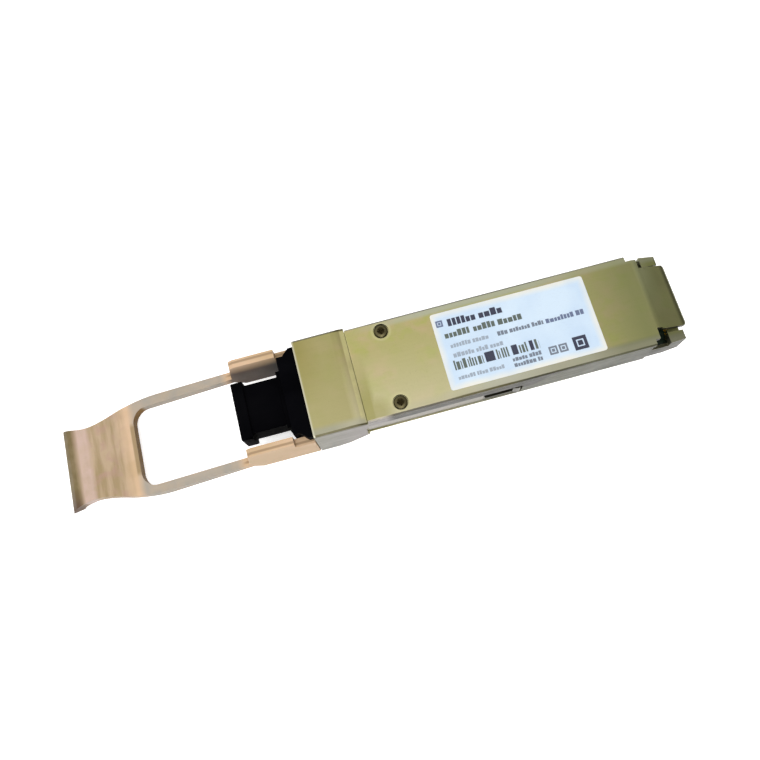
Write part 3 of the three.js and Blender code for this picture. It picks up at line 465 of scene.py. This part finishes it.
def tab_arm_colour(s, colour, uneven):
    """Greyer rails, a darker line on top of the arms, and the arms' shaded inner faces."""
    x, y, z = s.along(0), s.across(), s.along(2)
    rails = s.within(x, WINDOW_END + 0.5, TAB_ARM_FRONT - 2.4, 1.5)
    colour = s.mix(colour, srgb(150, 146, 137), s.both(rails, s.remap(uneven, 0.3, 0.7, 0.65, 0.95)))
    on_arms = s.remap(x, TAB_ARM_FRONT - 1.4, TAB_ARM_FRONT - 0.4)
    # A darker brown line along the top of each arm.
    arm_top_line = s.both(s.within(y, 8.75, 9.05, 0.15), s.remap(s.lean(2), 0.6, 0.9), on_arms)
    colour = s.mix(colour, srgb(140, 116, 88), s.maths("MULTIPLY", arm_top_line, 0.75))
    inward = s.both(s.facing(1), s.remap(y, 8.3, 8.0), s.remap(x, TAB_ARM_FRONT - 1.4, TAB_ARM_FRONT - 0.2))
    near_nose = s.remap(x, TAB_ARM_FRONT + 4.1, TAB_ARM_FRONT + 9.1)
    shade_colour = s.mix(srgb(76, 54, 36), srgb(34, 26, 20), near_nose)
    return s.mix(colour, shade_colour, s.both(inward, s.remap(z, 7.6, 3.6, 0.1, 0.94)))


def tab_grip_colour(s, colour, uneven, polish_and_highlight):
    """Banded grip, paler where fingers polish its bend, partly as a painted highlight, with painted shade on
    the lip beyond it and round the window's end.
    """
    x = s.along(0)
    bands = s.noise(1.1, detail=3, stretch=(1, 0.12, 0.5))
    grip = s.remap(x, WINDOW_END - 1.4, WINDOW_END - 4)
    colour = s.mix(colour, srgb(169, 149, 124), s.maths("MULTIPLY", grip, 0.8))
    colour = s.mix(colour, srgb(140, 122, 84), s.both(grip, s.remap(bands, 0.42, 0.64, 0.0, 0.7)))
    colour = s.mix(colour, srgb(166, 134, 122), s.both(grip, s.remap(uneven, 0.48, 0.68, 0.0, 0.6)))
    # Paler bend: polish, partly a painted highlight.
    colour = s.mix(colour, srgb(190, 166, 154), s.both(polish_and_highlight, s.remap(uneven, 0.3, 0.7, 0.55, 0.95)))
    # Painted shade on the lip beyond the bend, darkest at its near corner.
    lip_shade = s.remap(x, GRIP_BEND + 0.4, GRIP_BEND - 1.0)
    colour = s.mix(colour, srgb(104, 91, 56), s.both(lip_shade, s.remap(uneven, 0.3, 0.7, 0.75, 0.97)))
    corner = s.both(lip_shade, s.remap(s.along(1), -4, -8.4))
    colour = s.mix(colour, srgb(80, 56, 47), s.maths("MULTIPLY", corner, 0.85))
    # Painted shade round the window's end, and darker on its end wall.
    window_rim_shade = s.both(s.within(x, WINDOW_END - 0.7, WINDOW_END + 0.5, 0.25), s.remap(s.across(), 5.5, 4.5))
    colour = s.mix(colour, srgb(142, 120, 84), s.maths("MULTIPLY", window_rim_shade, 0.8))
    window_wall_shade = s.both(s.remap(s.lean(0), 0.1, 0.35), s.within(x, WINDOW_END - 0.7, WINDOW_END + 2.6, 0.2))
    return s.mix(colour, srgb(112, 78, 4), s.maths("MULTIPLY", window_wall_shade, 0.95))


def tab_plastic():
    """Beige moulding with greyer rails, and a worn grip with a painted highlight on its bend and painted
    shade on its lip.
    """
    s, colour, roughness, normal = moulded(
        "tab_plastic",
        srgb(194, 166, 134),
        srgb(206, 176, 148),
        srgb(182, 155, 116),
        Specular_IOR_Level=0.2,
        Subsurface_Weight=0.05,
        Subsurface_Scale=0.0006,
        Subsurface_Radius=(1.0, 0.6, 0.35),
    )
    uneven = s.noise(2.2, detail=3)
    # Polish on the bend, also its painted highlight.
    polish_and_highlight = s.within(s.along(0), GRIP_BEND + 0.5, GRIP_BEND + 2.2, 1.0)
    colour = tab_arm_colour(s, colour, uneven)
    colour = tab_grip_colour(s, colour, uneven, polish_and_highlight)
    roughness = s.maths("SUBTRACT", roughness, s.maths("MULTIPLY", polish_and_highlight, 0.12))
    return s.finish(colour, roughness, normal)


def label_paper():
    """Coated label stock: cool white with a creamy border, and faint fibres."""
    s = Surface("label_paper", Coat_Weight=0.15, Coat_Roughness=0.35)
    fibres = s.noise(0.18, detail=5, stretch=(0.3, 1, 1))
    tone = s.noise(6, detail=2)
    colour = s.mix(srgb(184, 204, 224), srgb(194, 212, 228), s.remap(tone, 0.35, 0.65))
    colour = s.mix(colour, srgb(176, 190, 206), s.remap(fibres, 0.55, 0.8, 0.0, 0.4))
    low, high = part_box("product_label")
    middle = (low.x + high.x) / 2 / MM
    off_middle = s.maths("ABSOLUTE", s.maths("SUBTRACT", s.along(0), middle))
    from_end = s.maths("SUBTRACT", (high.x - low.x) / 2 / MM, off_middle)
    from_edge = s.maths("MINIMUM", from_end, s.maths("SUBTRACT", high.y / MM, s.across()))
    border = s.maths("MULTIPLY", s.remap(from_edge, 1.3, 0.3), s.remap(tone, 0.3, 0.6, 0.5, 1.0))
    colour = s.mix(colour, srgb(214, 214, 206), border)
    return s.finish(colour, s.remap(fibres, 0.3, 0.7, 0.42, 0.58), s.bump(fibres, 0.006, 0.4))


def ink(name, colour, faded):
    """Thermal print: slightly uneven, more matte than the paper."""
    s = Surface(name)
    uneven = s.noise(0.12, detail=3)
    printed = s.mix(colour, faded, s.remap(uneven, 0.45, 0.75, 0.0, 0.6))
    return s.finish(printed, s.remap(uneven, 0.3, 0.7, 0.5, 0.65))


def solder_mask():
    """Green solder mask over glass weave and buried copper traces."""
    s = Surface("solder_mask", Coat_Weight=0.12, Coat_Roughness=0.25, Specular_IOR_Level=0.2)
    weave = s.maths("MULTIPLY", s.waves(0.4, "X"), s.waves(0.4, "Y"))
    traces = s.remap(s.waves(0.9, "Y", distortion=0.6), 0.62, 0.7)
    planes = s.remap(s.cells(3.2), 0.3, 0.34)
    colour = s.mix(srgb(8, 20, 14), srgb(16, 36, 24), traces)
    colour = s.mix(colour, srgb(12, 30, 20), s.maths("MULTIPLY", planes, 0.5))
    colour = s.mix(colour, srgb(44, 58, 38), s.maths("MULTIPLY", weave, 0.1))
    normal = s.bump(traces, 0.02, 0.5)
    normal = s.bump(weave, 0.008, 0.4, under=normal)
    return s.finish(colour, s.remap(weave, 0.0, 1.0, 0.35, 0.5), normal)


def gold_contact():
    """Plated gold, rubbed along X where the connector's springs slide."""
    s = Surface("gold_contact", Metallic=1.0)
    rub = s.noise(0.1, detail=4, stretch=(0.05, 1, 1))
    colour = s.mix(srgb(232, 186, 92), srgb(205, 158, 74), s.remap(rub, 0.35, 0.7))
    return s.finish(colour, s.remap(rub, 0.3, 0.7, 0.18, 0.34), s.bump(rub, 0.003, 0.5))


def chip_epoxy():
    """Moulded chip body with a pale generic dot pattern left by the marking laser."""
    s = Surface("chip_epoxy")
    grain = s.noise(0.06, detail=3)
    marks = s.remap(s.cells(0.55), 0.1, 0.14, 1.0, 0.0)
    colour = s.mix(srgb(28, 28, 30), srgb(44, 44, 47), s.remap(grain, 0.4, 0.7))
    colour = s.mix(colour, srgb(96, 96, 98), s.maths("MULTIPLY", marks, 0.35))
    return s.finish(colour, s.remap(grain, 0.3, 0.7, 0.45, 0.62), s.bump(grain, 0.008, 0.5))


def capacitor_body():
    """Tan ceramic between two tinned ends, along X."""
    s = Surface("capacitor_body")
    grain = s.noise(0.08, detail=3)
    split = s.add("ShaderNodeSeparateXYZ")
    s.feed(split.inputs[0], s.add("ShaderNodeTexCoord").outputs["Generated"])
    centred = s.maths("ABSOLUTE", s.maths("SUBTRACT", split.outputs[0], 0.5))
    ends = s.remap(centred, 0.26, 0.28)
    body = s.mix(srgb(168, 140, 104), srgb(186, 160, 122), s.remap(grain, 0.4, 0.7))
    colour = s.mix(body, srgb(205, 206, 208), ends)
    return s.finish(colour, s.remap(grain, 0.3, 0.7, 0.3, 0.45), s.bump(grain, 0.005, 0.5), Metallic=ends)


def fibre_ribbon_coat():
    """Twelve coated fibres side by side: bands across Y that ride over the matrix."""
    s = Surface("fibre_ribbon_coat", Coat_Weight=0.5, Coat_Roughness=0.15)
    bands = s.waves(0.25, "Y")
    colour = s.mix(srgb(62, 142, 158), srgb(150, 214, 220), bands)
    return s.finish(colour, s.remap(s.noise(0.5), 0.3, 0.7, 0.22, 0.36), s.bump(bands, 0.05, 0.7))


def lens_resin():
    """Clear amber resin, faintly streaked."""
    s = Surface("lens_resin", Transmission_Weight=0.75, IOR=1.62)
    swirl = s.noise(1.5, detail=3)
    colour = s.mix(srgb(214, 150, 60), srgb(236, 186, 96), s.remap(swirl, 0.35, 0.65))
    return s.finish(colour, s.remap(swirl, 0.3, 0.7, 0.06, 0.16), s.bump(swirl, 0.01, 0.2))


def soft_pad(name, base, speck):
    """Filled silicone: matte, with fine filler specks."""
    s = Surface(name)
    specks = s.remap(s.cells(0.12), 0.2, 0.35, 1.0, 0.0)
    lumps = s.noise(0.6, detail=3)
    colour = s.mix(base, speck, s.maths("MULTIPLY", specks, 0.5))
    return s.finish(colour, s.remap(lumps, 0.3, 0.7, 0.7, 0.9), s.bump(lumps, 0.03, 0.5))


def studio_wall():
    """Evenly lit white paper."""
    s = Surface("studio_wall", Emission_Color=(1, 1, 1, 1), Emission_Strength=1.0)
    tooth = s.noise(30, detail=2)
    colour = s.mix((0.9, 0.9, 0.9, 1), (0.86, 0.86, 0.86, 1), tooth)
    return s.finish(colour, s.remap(tooth, 0.3, 0.7, 0.8, 0.9))


def studio_floor():
    """White paper with a fine tooth."""
    s = Surface("studio_floor", Emission_Color=(1, 1, 1, 1), Emission_Strength=0.6)
    tooth = s.noise(1.2, detail=3)
    colour = s.mix((0.93, 0.93, 0.93, 1), (0.9, 0.9, 0.9, 1), s.remap(tooth, 0.4, 0.7))
    return s.finish(colour, s.remap(tooth, 0.3, 0.7, 0.75, 0.9), s.bump(tooth, 0.01, 0.2))


MATERIALS = {
    "shell": nickel_cast(),
    "screw_steel": dark_screw(),
    "gasket": soft_pad("gasket", srgb(72, 74, 77), srgb(130, 132, 135)),
    "label_paper": label_paper(),
    "tab_plastic": tab_plastic(),
    "spring_steel": spring_steel(),
    "port_plastic": plain_moulded(
        "port_plastic",
        srgb(3, 3, 5),
        srgb(7, 7, 10),
        srgb(1, 1, 2),
        rough=(0.5, 0.62),
        Specular_IOR_Level=0.012,
    ),
    "ferrule_plastic": plain_moulded(
        "ferrule_plastic", srgb(58, 62, 68), srgb(76, 80, 86), srgb(42, 45, 50), grain=0.08, depth=0.006
    ),
    "fibre": fibre_ribbon_coat(),
    "plug_rubber": plain_moulded(
        "plug_rubber",
        srgb(3, 3, 5),
        srgb(7, 7, 9),
        srgb(1, 1, 2),
        rough=(0.55, 0.7),
        Specular_IOR_Level=0.012,
    ),
    "circuit_board": solder_mask(),
    "lens_resin": lens_resin(),
    "die_metal": gold_contact(),
    "chip_plastic": chip_epoxy(),
    "ferrite": soft_pad("ferrite", srgb(58, 58, 62), srgb(96, 96, 100)),
    "capacitor_ceramic": capacitor_body(),
    "thermal_pad": soft_pad("thermal_pad", srgb(150, 172, 196), srgb(206, 216, 228)),
}

# ---------------------------------------------------------------- pieces

SAME_PLACE = 0.001 * MM  # corners this near to each other are merged
FLAT = math.radians(0.6)  # faces this near to one plane are merged
CORNER = math.radians(22)  # edges sharper than this are rounded
CREASE = math.radians(38)  # edges sharper than this stay crisp in the shading
SHORTEST = 2.5  # an edge is rounded if it is longer than this many corner radii


def ride_as(piece, node):
    """The piece stands for the node, on its body, and the node is hidden."""
    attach(piece, BODY_OF[node])
    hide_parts(node)
    return piece


def new_object(name, mesh, material):
    """An object in the scene, of one material."""
    piece = bpy.data.objects.new(name, mesh)
    bpy.context.scene.collection.objects.link(piece)
    mesh.materials.append(material)
    return piece


def shade(piece):
    """Smooth shading that keeps true corners crisp and flat faces flat."""
    mesh = piece.data
    mesh.polygons.foreach_set("use_smooth", [True] * len(mesh.polygons))
    mesh.set_sharp_from_angle(angle=CREASE)
    weighted = piece.modifiers.new("weighted_normals", "WEIGHTED_NORMAL")
    weighted.keep_sharp = True
    return piece


def rounded_node(node, width, segments):
    """A finished copy of a CAD node: merged flat faces, and true corners rounded by width millimetres."""
    shape = bmesh.new()
    shape.from_mesh(NODES[node].data)
    bmesh.ops.remove_doubles(shape, verts=shape.verts, dist=SAME_PLACE)
    bmesh.ops.dissolve_limit(shape, angle_limit=FLAT, verts=shape.verts, edges=shape.edges)
    corners = [
        edge
        for edge in shape.edges
        if edge.calc_face_angle(0) > CORNER and edge.calc_length() > SHORTEST * width * MM
    ]
    bmesh.ops.bevel(
        shape,
        geom=corners,
        offset=width * MM,
        offset_type="OFFSET",
        segments=segments,
        profile=0.5,
        affect="EDGES",
        clamp_overlap=True,
    )
    mesh = bpy.data.meshes.new(node + "_finished")
    shape.to_mesh(mesh)
    shape.free()
    piece = new_object(node + "_finished", mesh, MATERIALS[SLOT_OF[node]])
    return ride_as(shade(piece), node)


# Corner radius of each node in millimetres, and how many steps round it.
ROUNDING = {
    "base_housing": (0.12, 2),
    "top_cover": (0.12, 2),
    "cover_screw_left": (0.04, 2),
    "cover_screw_right": (0.04, 2),
    "emi_gasket_left": (0.05, 2),
    "emi_gasket_right": (0.05, 2),
    "product_label": (0.02, 1),
    "pull_tab": (0.35, 3),
    "latch_slider": (0.05, 2),
    "pin_keeper": (0.05, 2),
    "guide_pin_left": (0.05, 2),
    "guide_pin_right": (0.05, 2),
    "mpo_receptacle": (0.2, 3),
    "mt_ferrule": (0.08, 2),
    "fibre_ribbon": (0.05, 2),
    "dust_plug": (0.3, 3),
    "paddle_card": (0.06, 1),
    "lens_coupler": (0.1, 2),
    "vcsel_array": (0.02, 1),
    "photodiode_array": (0.02, 1),
    "laser_driver_ic": (0.05, 2),
    "receiver_ic": (0.05, 2),
    "microcontroller": (0.06, 2),
    "power_inductor": (0.12, 2),
    "filter_capacitor_left_1": (0.06, 2),
    "filter_capacitor_left_2": (0.06, 2),
    "filter_capacitor_right_1": (0.06, 2),
    "filter_capacitor_right_2": (0.06, 2),
    "thermal_pad_cover": (0.08, 2),
    "thermal_pad_floor": (0.08, 2),
}
for node_name, (radius, steps) in ROUNDING.items():
    rounded_node(node_name, radius, steps)


def add_block(shape, low, high):
    """Adds one closed box to a bmesh, between two corners in metres."""
    centre = (Vector(low) + Vector(high)) / 2
    size = Vector(high) - Vector(low)
    matrix = Matrix.Translation(centre) @ Matrix.Diagonal((*size, 1))
    bmesh.ops.create_cube(shape, size=1.0, matrix=matrix)


def blocks_object(name, boxes, material):
    """One object made of separate closed boxes."""
    shape = bmesh.new()
    for low, high in boxes:
        add_block(shape, low, high)
    mesh = bpy.data.meshes.new(name)
    shape.to_mesh(mesh)
    shape.free()
    return new_object(name, mesh, material)


def card_contacts():
    """Gold fingers on each face of the card's edge, every third one longer."""
    low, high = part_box("paddle_card")
    count, pitch, width, thickness = 19, 0.8 * MM, 0.54 * MM, 0.025 * MM
    long_finger, short_finger, end_gap = 1.35 * MM, 1.2 * MM, 0.35 * MM
    back = high.x - end_gap
    boxes = []
    for index in range(count):
        length = long_finger if index % 3 == 0 else short_finger
        y = (index - (count - 1) / 2) * pitch
        for z in (low.z - thickness, high.z):
            boxes.append(((back - length, y - width / 2, z), (back, y + width / 2, z + thickness)))
    contacts = blocks_object("card_contacts", boxes, MATERIALS["die_metal"])
    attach(contacts, BODY_OF["paddle_card"])


card_contacts()

# ---------------------------------------------------------------- label print

INK_DARK = ink("ink_dark", srgb(34, 38, 60), srgb(66, 70, 92))
INK_GREEN = ink("ink_green", srgb(74, 84, 80), srgb(112, 124, 110))
INK_MIDDLE = ink("ink_middle", srgb(98, 108, 122), srgb(140, 148, 162))
INK_BLUE = ink("ink_blue", srgb(86, 98, 128), srgb(128, 138, 160))
INK_PALE = ink("ink_pale", srgb(138, 150, 164), srgb(174, 184, 196))

# Greeked print rows: start, end, distance from the far edge, height, and ink. Millimetres on the label.
PRINT_ROWS = [
    (2.9, 13.7, 2.35, 1.45, INK_DARK),
    (1.7, 6.4, 4.65, 1.25, INK_GREEN),
    (7.2, 11.3, 4.65, 1.25, INK_GREEN),
    (11.9, 16.5, 4.65, 1.3, INK_GREEN),
    (2.2, 10.3, 6.9, 0.85, INK_PALE),
    (11.2, 20.0, 6.9, 0.85, INK_MIDDLE),
    (20.5, 27.8, 6.9, 1.0, INK_BLUE),
    (2.2, 12.3, 8.8, 0.9, INK_PALE),
    (1.9, 10.9, 13.2, 0.75, INK_PALE),
    (12.4, 17.9, 12.45, 0.8, INK_MIDDLE),
    (12.4, 17.9, 13.55, 0.8, INK_MIDDLE),
]

# Bar code: its sides' distances from the far edge, runs of bars and the solid marks between them.
BARCODE_TOP, BARCODE_BOTTOM = 9.75, 11.65
BARCODE_RUNS = [(1.8, 7.3), (9.9, 12.4), (14.2, 15.9), (17.2, 18.0)]
BARCODE_MARKS = [(7.7, 9.5), (12.8, 13.9), (16.2, 16.9)]

# Square frames: start, distance of the upper side from the far edge, size, stroke and ink.
TICK_FRAMES = [
    (0.7, 1.5, 1.3, 0.3, INK_BLUE),
    (19.3, 11.9, 1.6, 0.34, INK_MIDDLE),
    (21.2, 11.9, 1.6, 0.34, INK_MIDDLE),
    (24.0, 11.3, 2.6, 0.6, INK_DARK),
]


class Print:
    """Collects flat ink blocks on the label, by ink, and turns them into one piece each."""

    THICKNESS = 0.012 * MM
    LIFT = 0.002 * MM

    def __init__(self):
        self.low, self.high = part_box("product_label")
        self.boxes = {}

    def block(self, start, end, top, bottom, ink_used):
        """One rectangle of ink, in millimetres from the label's front end and from its far edge."""
        x0, x1 = self.low.x + start * MM, self.low.x + end * MM
        y0, y1 = self.high.y - bottom * MM, self.high.y - top * MM
        z = self.high.z + self.LIFT
        self.boxes.setdefault(ink_used.name, []).append(((x0, y0, z), (x1, y1, z + self.THICKNESS)))

    def words(self, start, end, centre, height, ink_used, chooser):
        """A row of word-like runs, each made of blocks of uneven width and height."""
        at = start
        while at < end - 0.6:
            word_end = min(end, at + chooser.uniform(2.2, 5.0) * height / 0.9)
            while at < word_end - 0.3:
                width = min(chooser.uniform(0.45, 0.75) * height, end - at)
                tall = height * chooser.choice((0.72, 0.86, 1.0))
                self.block(at, at + width, centre + height / 2 - tall, centre + height / 2, ink_used)
                at += width + 0.13 * height
            at += 0.35 * height

    def bars(self, start, end, ink_used, chooser):
        """Upright bars of uneven width, some of them a little shorter."""
        at = start
        while at < end:
            width = chooser.choice((0.2, 0.3, 0.46, 0.62))
            top = BARCODE_TOP + chooser.choice((0.0, 0.0, 0.35))
            self.block(at, min(at + width, end), top, BARCODE_BOTTOM, ink_used)
            at += width + chooser.choice((0.16, 0.2, 0.3))

    def tick_frame(self, start, top, size, stroke, ink_used):
        """A plain square frame with a solid centre."""
        end, bottom = start + size, top + size
        inset = size * 0.32
        self.block(start, end, top, top + stroke, ink_used)
        self.block(start, end, bottom - stroke, bottom, ink_used)
        self.block(start, start + stroke, top + stroke, bottom - stroke, ink_used)
        self.block(end - stroke, end, top + stroke, bottom - stroke, ink_used)
        self.block(start + inset, end - inset, top + inset, bottom - inset, ink_used)

    def finish(self):
        """One piece for each ink."""
        for name, boxes in self.boxes.items():
            piece = blocks_object("label_" + name, boxes, bpy.data.materials[name])
            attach(piece, BODY_OF["product_label"])


def print_label():
    """Everything that stands in for the label's print."""
    chooser = random.Random(7)
    sheet = Print()
    for row in PRINT_ROWS:
        sheet.words(*row, chooser)
    for start, end in BARCODE_RUNS:
        sheet.bars(start, end, INK_GREEN, chooser)
    for start, end in BARCODE_MARKS:
        sheet.block(start, end, BARCODE_TOP, BARCODE_BOTTOM, INK_DARK)
    for tick_frame in TICK_FRAMES:
        sheet.tick_frame(*tick_frame)
    sheet.finish()


print_label()

# ---------------------------------------------------------------- slider springs


def slider_spring(node):
    """Round-wire coil with closed ends."""
    low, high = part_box(node)
    wire = 0.15 * MM
    centre_y, centre_z = (low.y + high.y) / 2, (low.z + high.z) / 2
    radius = (high.z - low.z) / 2 - wire
    turns, closed, steps = 9, 1.25, 20
    total = turns * steps
    curve = bpy.data.curves.new(node + "_coil", "CURVE")
    curve.dimensions = "3D"
    curve.bevel_depth = wire
    curve.bevel_resolution = 3
    curve.use_fill_caps = True
    spline = curve.splines.new("POLY")
    spline.points.add(total)
    spread = high.x - low.x - 2 * wire - 2 * closed * 2 * wire
    for index in range(total + 1):
        turn = index / steps
        open_turns = min(max(turn - closed, 0), turns - 2 * closed)
        flat_turns = turn - open_turns
        x = low.x + wire + flat_turns * 2 * wire + spread * open_turns / (turns - 2 * closed)
        angle = 2 * math.pi * turn
        point = (x, centre_y + radius * math.cos(angle), centre_z + radius * math.sin(angle), 1)
        spline.points[index].co = point
    rough = bpy.data.objects.new(node + "_curve", curve)
    mesh = bpy.data.meshes.new_from_object(rough)
    bpy.data.objects.remove(rough)
    mesh.materials.clear()
    piece = new_object(node + "_coil", mesh, MATERIALS["spring_steel"])
    mesh.polygons.foreach_set("use_smooth", [True] * len(mesh.polygons))
    ride_as(piece, node)
    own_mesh(piece)


for side_name in ("left", "right"):
    slider_spring("slider_spring_" + side_name)

# ---------------------------------------------------------------- stage, light and camera

HORIZON_LIGHT = 0.3  # strength of the dome
ZENITH_LIGHT = 1.35
STUDIO_RADIUS = 1.5  # metres


def floor():
    """Floor on which the module rests with its chin and the rear edge of its bottom face."""
    chin_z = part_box("base_housing")[0].z
    slope = chin_z / (CHIN_END - TRAY_END) / MM
    gap = 0.03 * MM
    centre = Vector((CHIN_END * MM, 0, chin_z - gap))
    place = Matrix.Translation(centre) @ Matrix.Rotation(-math.atan(slope), 4, "Y")
    shape = bmesh.new()
    bmesh.ops.create_circle(shape, cap_ends=True, segments=96, radius=STUDIO_RADIUS)
    mesh = bpy.data.meshes.new("studio_floor")
    shape.to_mesh(mesh)
    shape.free()
    piece = new_object("studio_floor", mesh, studio_floor())
    piece.matrix_world = place
    piece.visible_diffuse = False
    backdrop(place)


def backdrop(place):
    """White wall round the floor, which only the camera sees, so that it takes no part in the light."""
    shape = bmesh.new()
    rings = bmesh.ops.create_circle(shape, segments=96, radius=STUDIO_RADIUS)
    rim = list({edge for vertex in rings["verts"] for edge in vertex.link_edges})
    raised = bmesh.ops.extrude_edge_only(shape, edges=rim)["geom"]
    bmesh.ops.translate(
        shape,
        verts=[item for item in raised if isinstance(item, bmesh.types.BMVert)],
        vec=(0, 0, STUDIO_RADIUS),
    )
    mesh = bpy.data.meshes.new("studio_backdrop")
    shape.to_mesh(mesh)
    shape.free()
    piece = new_object("studio_backdrop", mesh, studio_wall())
    piece.matrix_world = place
    piece.visible_diffuse = False
    piece.visible_glossy = False
    piece.visible_transmission = False
    piece.visible_shadow = False


def area_light(name, place, target, size, power):
    """A rectangular lamp that looks from one place to another, in metres and watts."""
    light = bpy.data.lights.new(name, "AREA")
    light.shape = "RECTANGLE"
    light.size, light.size_y = size
    light.energy = power
    holder = bpy.data.objects.new(name, light)
    bpy.context.scene.collection.objects.link(holder)
    holder.location = place
    direction = Vector(target) - Vector(place)
    holder.rotation_euler = direction.to_track_quat("-Z", "Y").to_euler()


def studio_sky():
    """White dome that is darker at the horizon, below it, and towards the rear of the module."""
    world = bpy.data.worlds.new("studio_sky")
    world.use_nodes = True
    tree = world.node_tree
    tree.nodes.clear()

    def ramp(value, low, high, to_low, to_high):
        node = tree.nodes.new("ShaderNodeMapRange")
        node.interpolation_type = "SMOOTHSTEP"
        tree.links.new(value, node.inputs[0])
        for index, bound in enumerate((low, high, to_low, to_high), start=1):
            node.inputs[index].default_value = bound
        return node.outputs[0]

    split = tree.nodes.new("ShaderNodeSeparateXYZ")
    tree.links.new(tree.nodes.new("ShaderNodeTexCoord").outputs["Generated"], split.inputs[0])
    height = ramp(split.outputs[2], -0.1, 0.9, HORIZON_LIGHT, ZENITH_LIGHT)
    rearward = ramp(split.outputs[0], 0.05, 0.6, 1.0, 0.5)
    strength = tree.nodes.new("ShaderNodeMath")
    strength.operation = "MULTIPLY"
    tree.links.new(height, strength.inputs[0])
    tree.links.new(rearward, strength.inputs[1])
    background = tree.nodes.new("ShaderNodeBackground")
    background.inputs["Color"].default_value = (1.0, 0.985, 0.97, 1)
    tree.links.new(strength.outputs[0], background.inputs["Strength"])
    output = tree.nodes.new("ShaderNodeOutputWorld")
    tree.links.new(background.outputs[0], output.inputs["Surface"])
    bpy.context.scene.world = world


def camera():
    """High three-quarter view from the near side, rolled so that the module climbs to the right."""
    azimuth, elevation, roll = (math.radians(angle) for angle in (-5.14, 73.82, -9.92))
    distance = 137.47 * MM
    target = Vector((-5.64, -0.77, 4.0)) * MM
    back = Vector(
        (
            math.sin(azimuth) * math.cos(elevation),
            -math.cos(azimuth) * math.cos(elevation),
            math.sin(elevation),
        )
    )
    level = (-back).cross(Vector((0, 0, 1))).normalized()
    upright = level.cross(-back)
    right = math.cos(roll) * level + math.sin(roll) * upright
    up = math.cos(roll) * upright - math.sin(roll) * level
    data = bpy.data.cameras.new("camera")
    data.sensor_width = 36
    data.lens = 34.256
    data.clip_start = 0.001
    holder = bpy.data.objects.new("camera", data)
    bpy.context.scene.collection.objects.link(holder)
    basis = Matrix((right, up, back)).transposed().to_4x4()
    holder.matrix_world = Matrix.Translation(target + back * distance) @ basis
    bpy.context.scene.camera = holder


floor()
studio_sky()
area_light("key", (-0.01, -0.16, 0.42), (-0.01, 0, 0), (0.25, 0.25), 0.5)
area_light("fill", (-0.06, -0.4, 0.14), (-0.02, 0, 0), (0.35, 0.2), 0.8)
camera()
bpy.context.scene.view_settings.view_transform = "Standard"

bpy.context.view_layer.update()
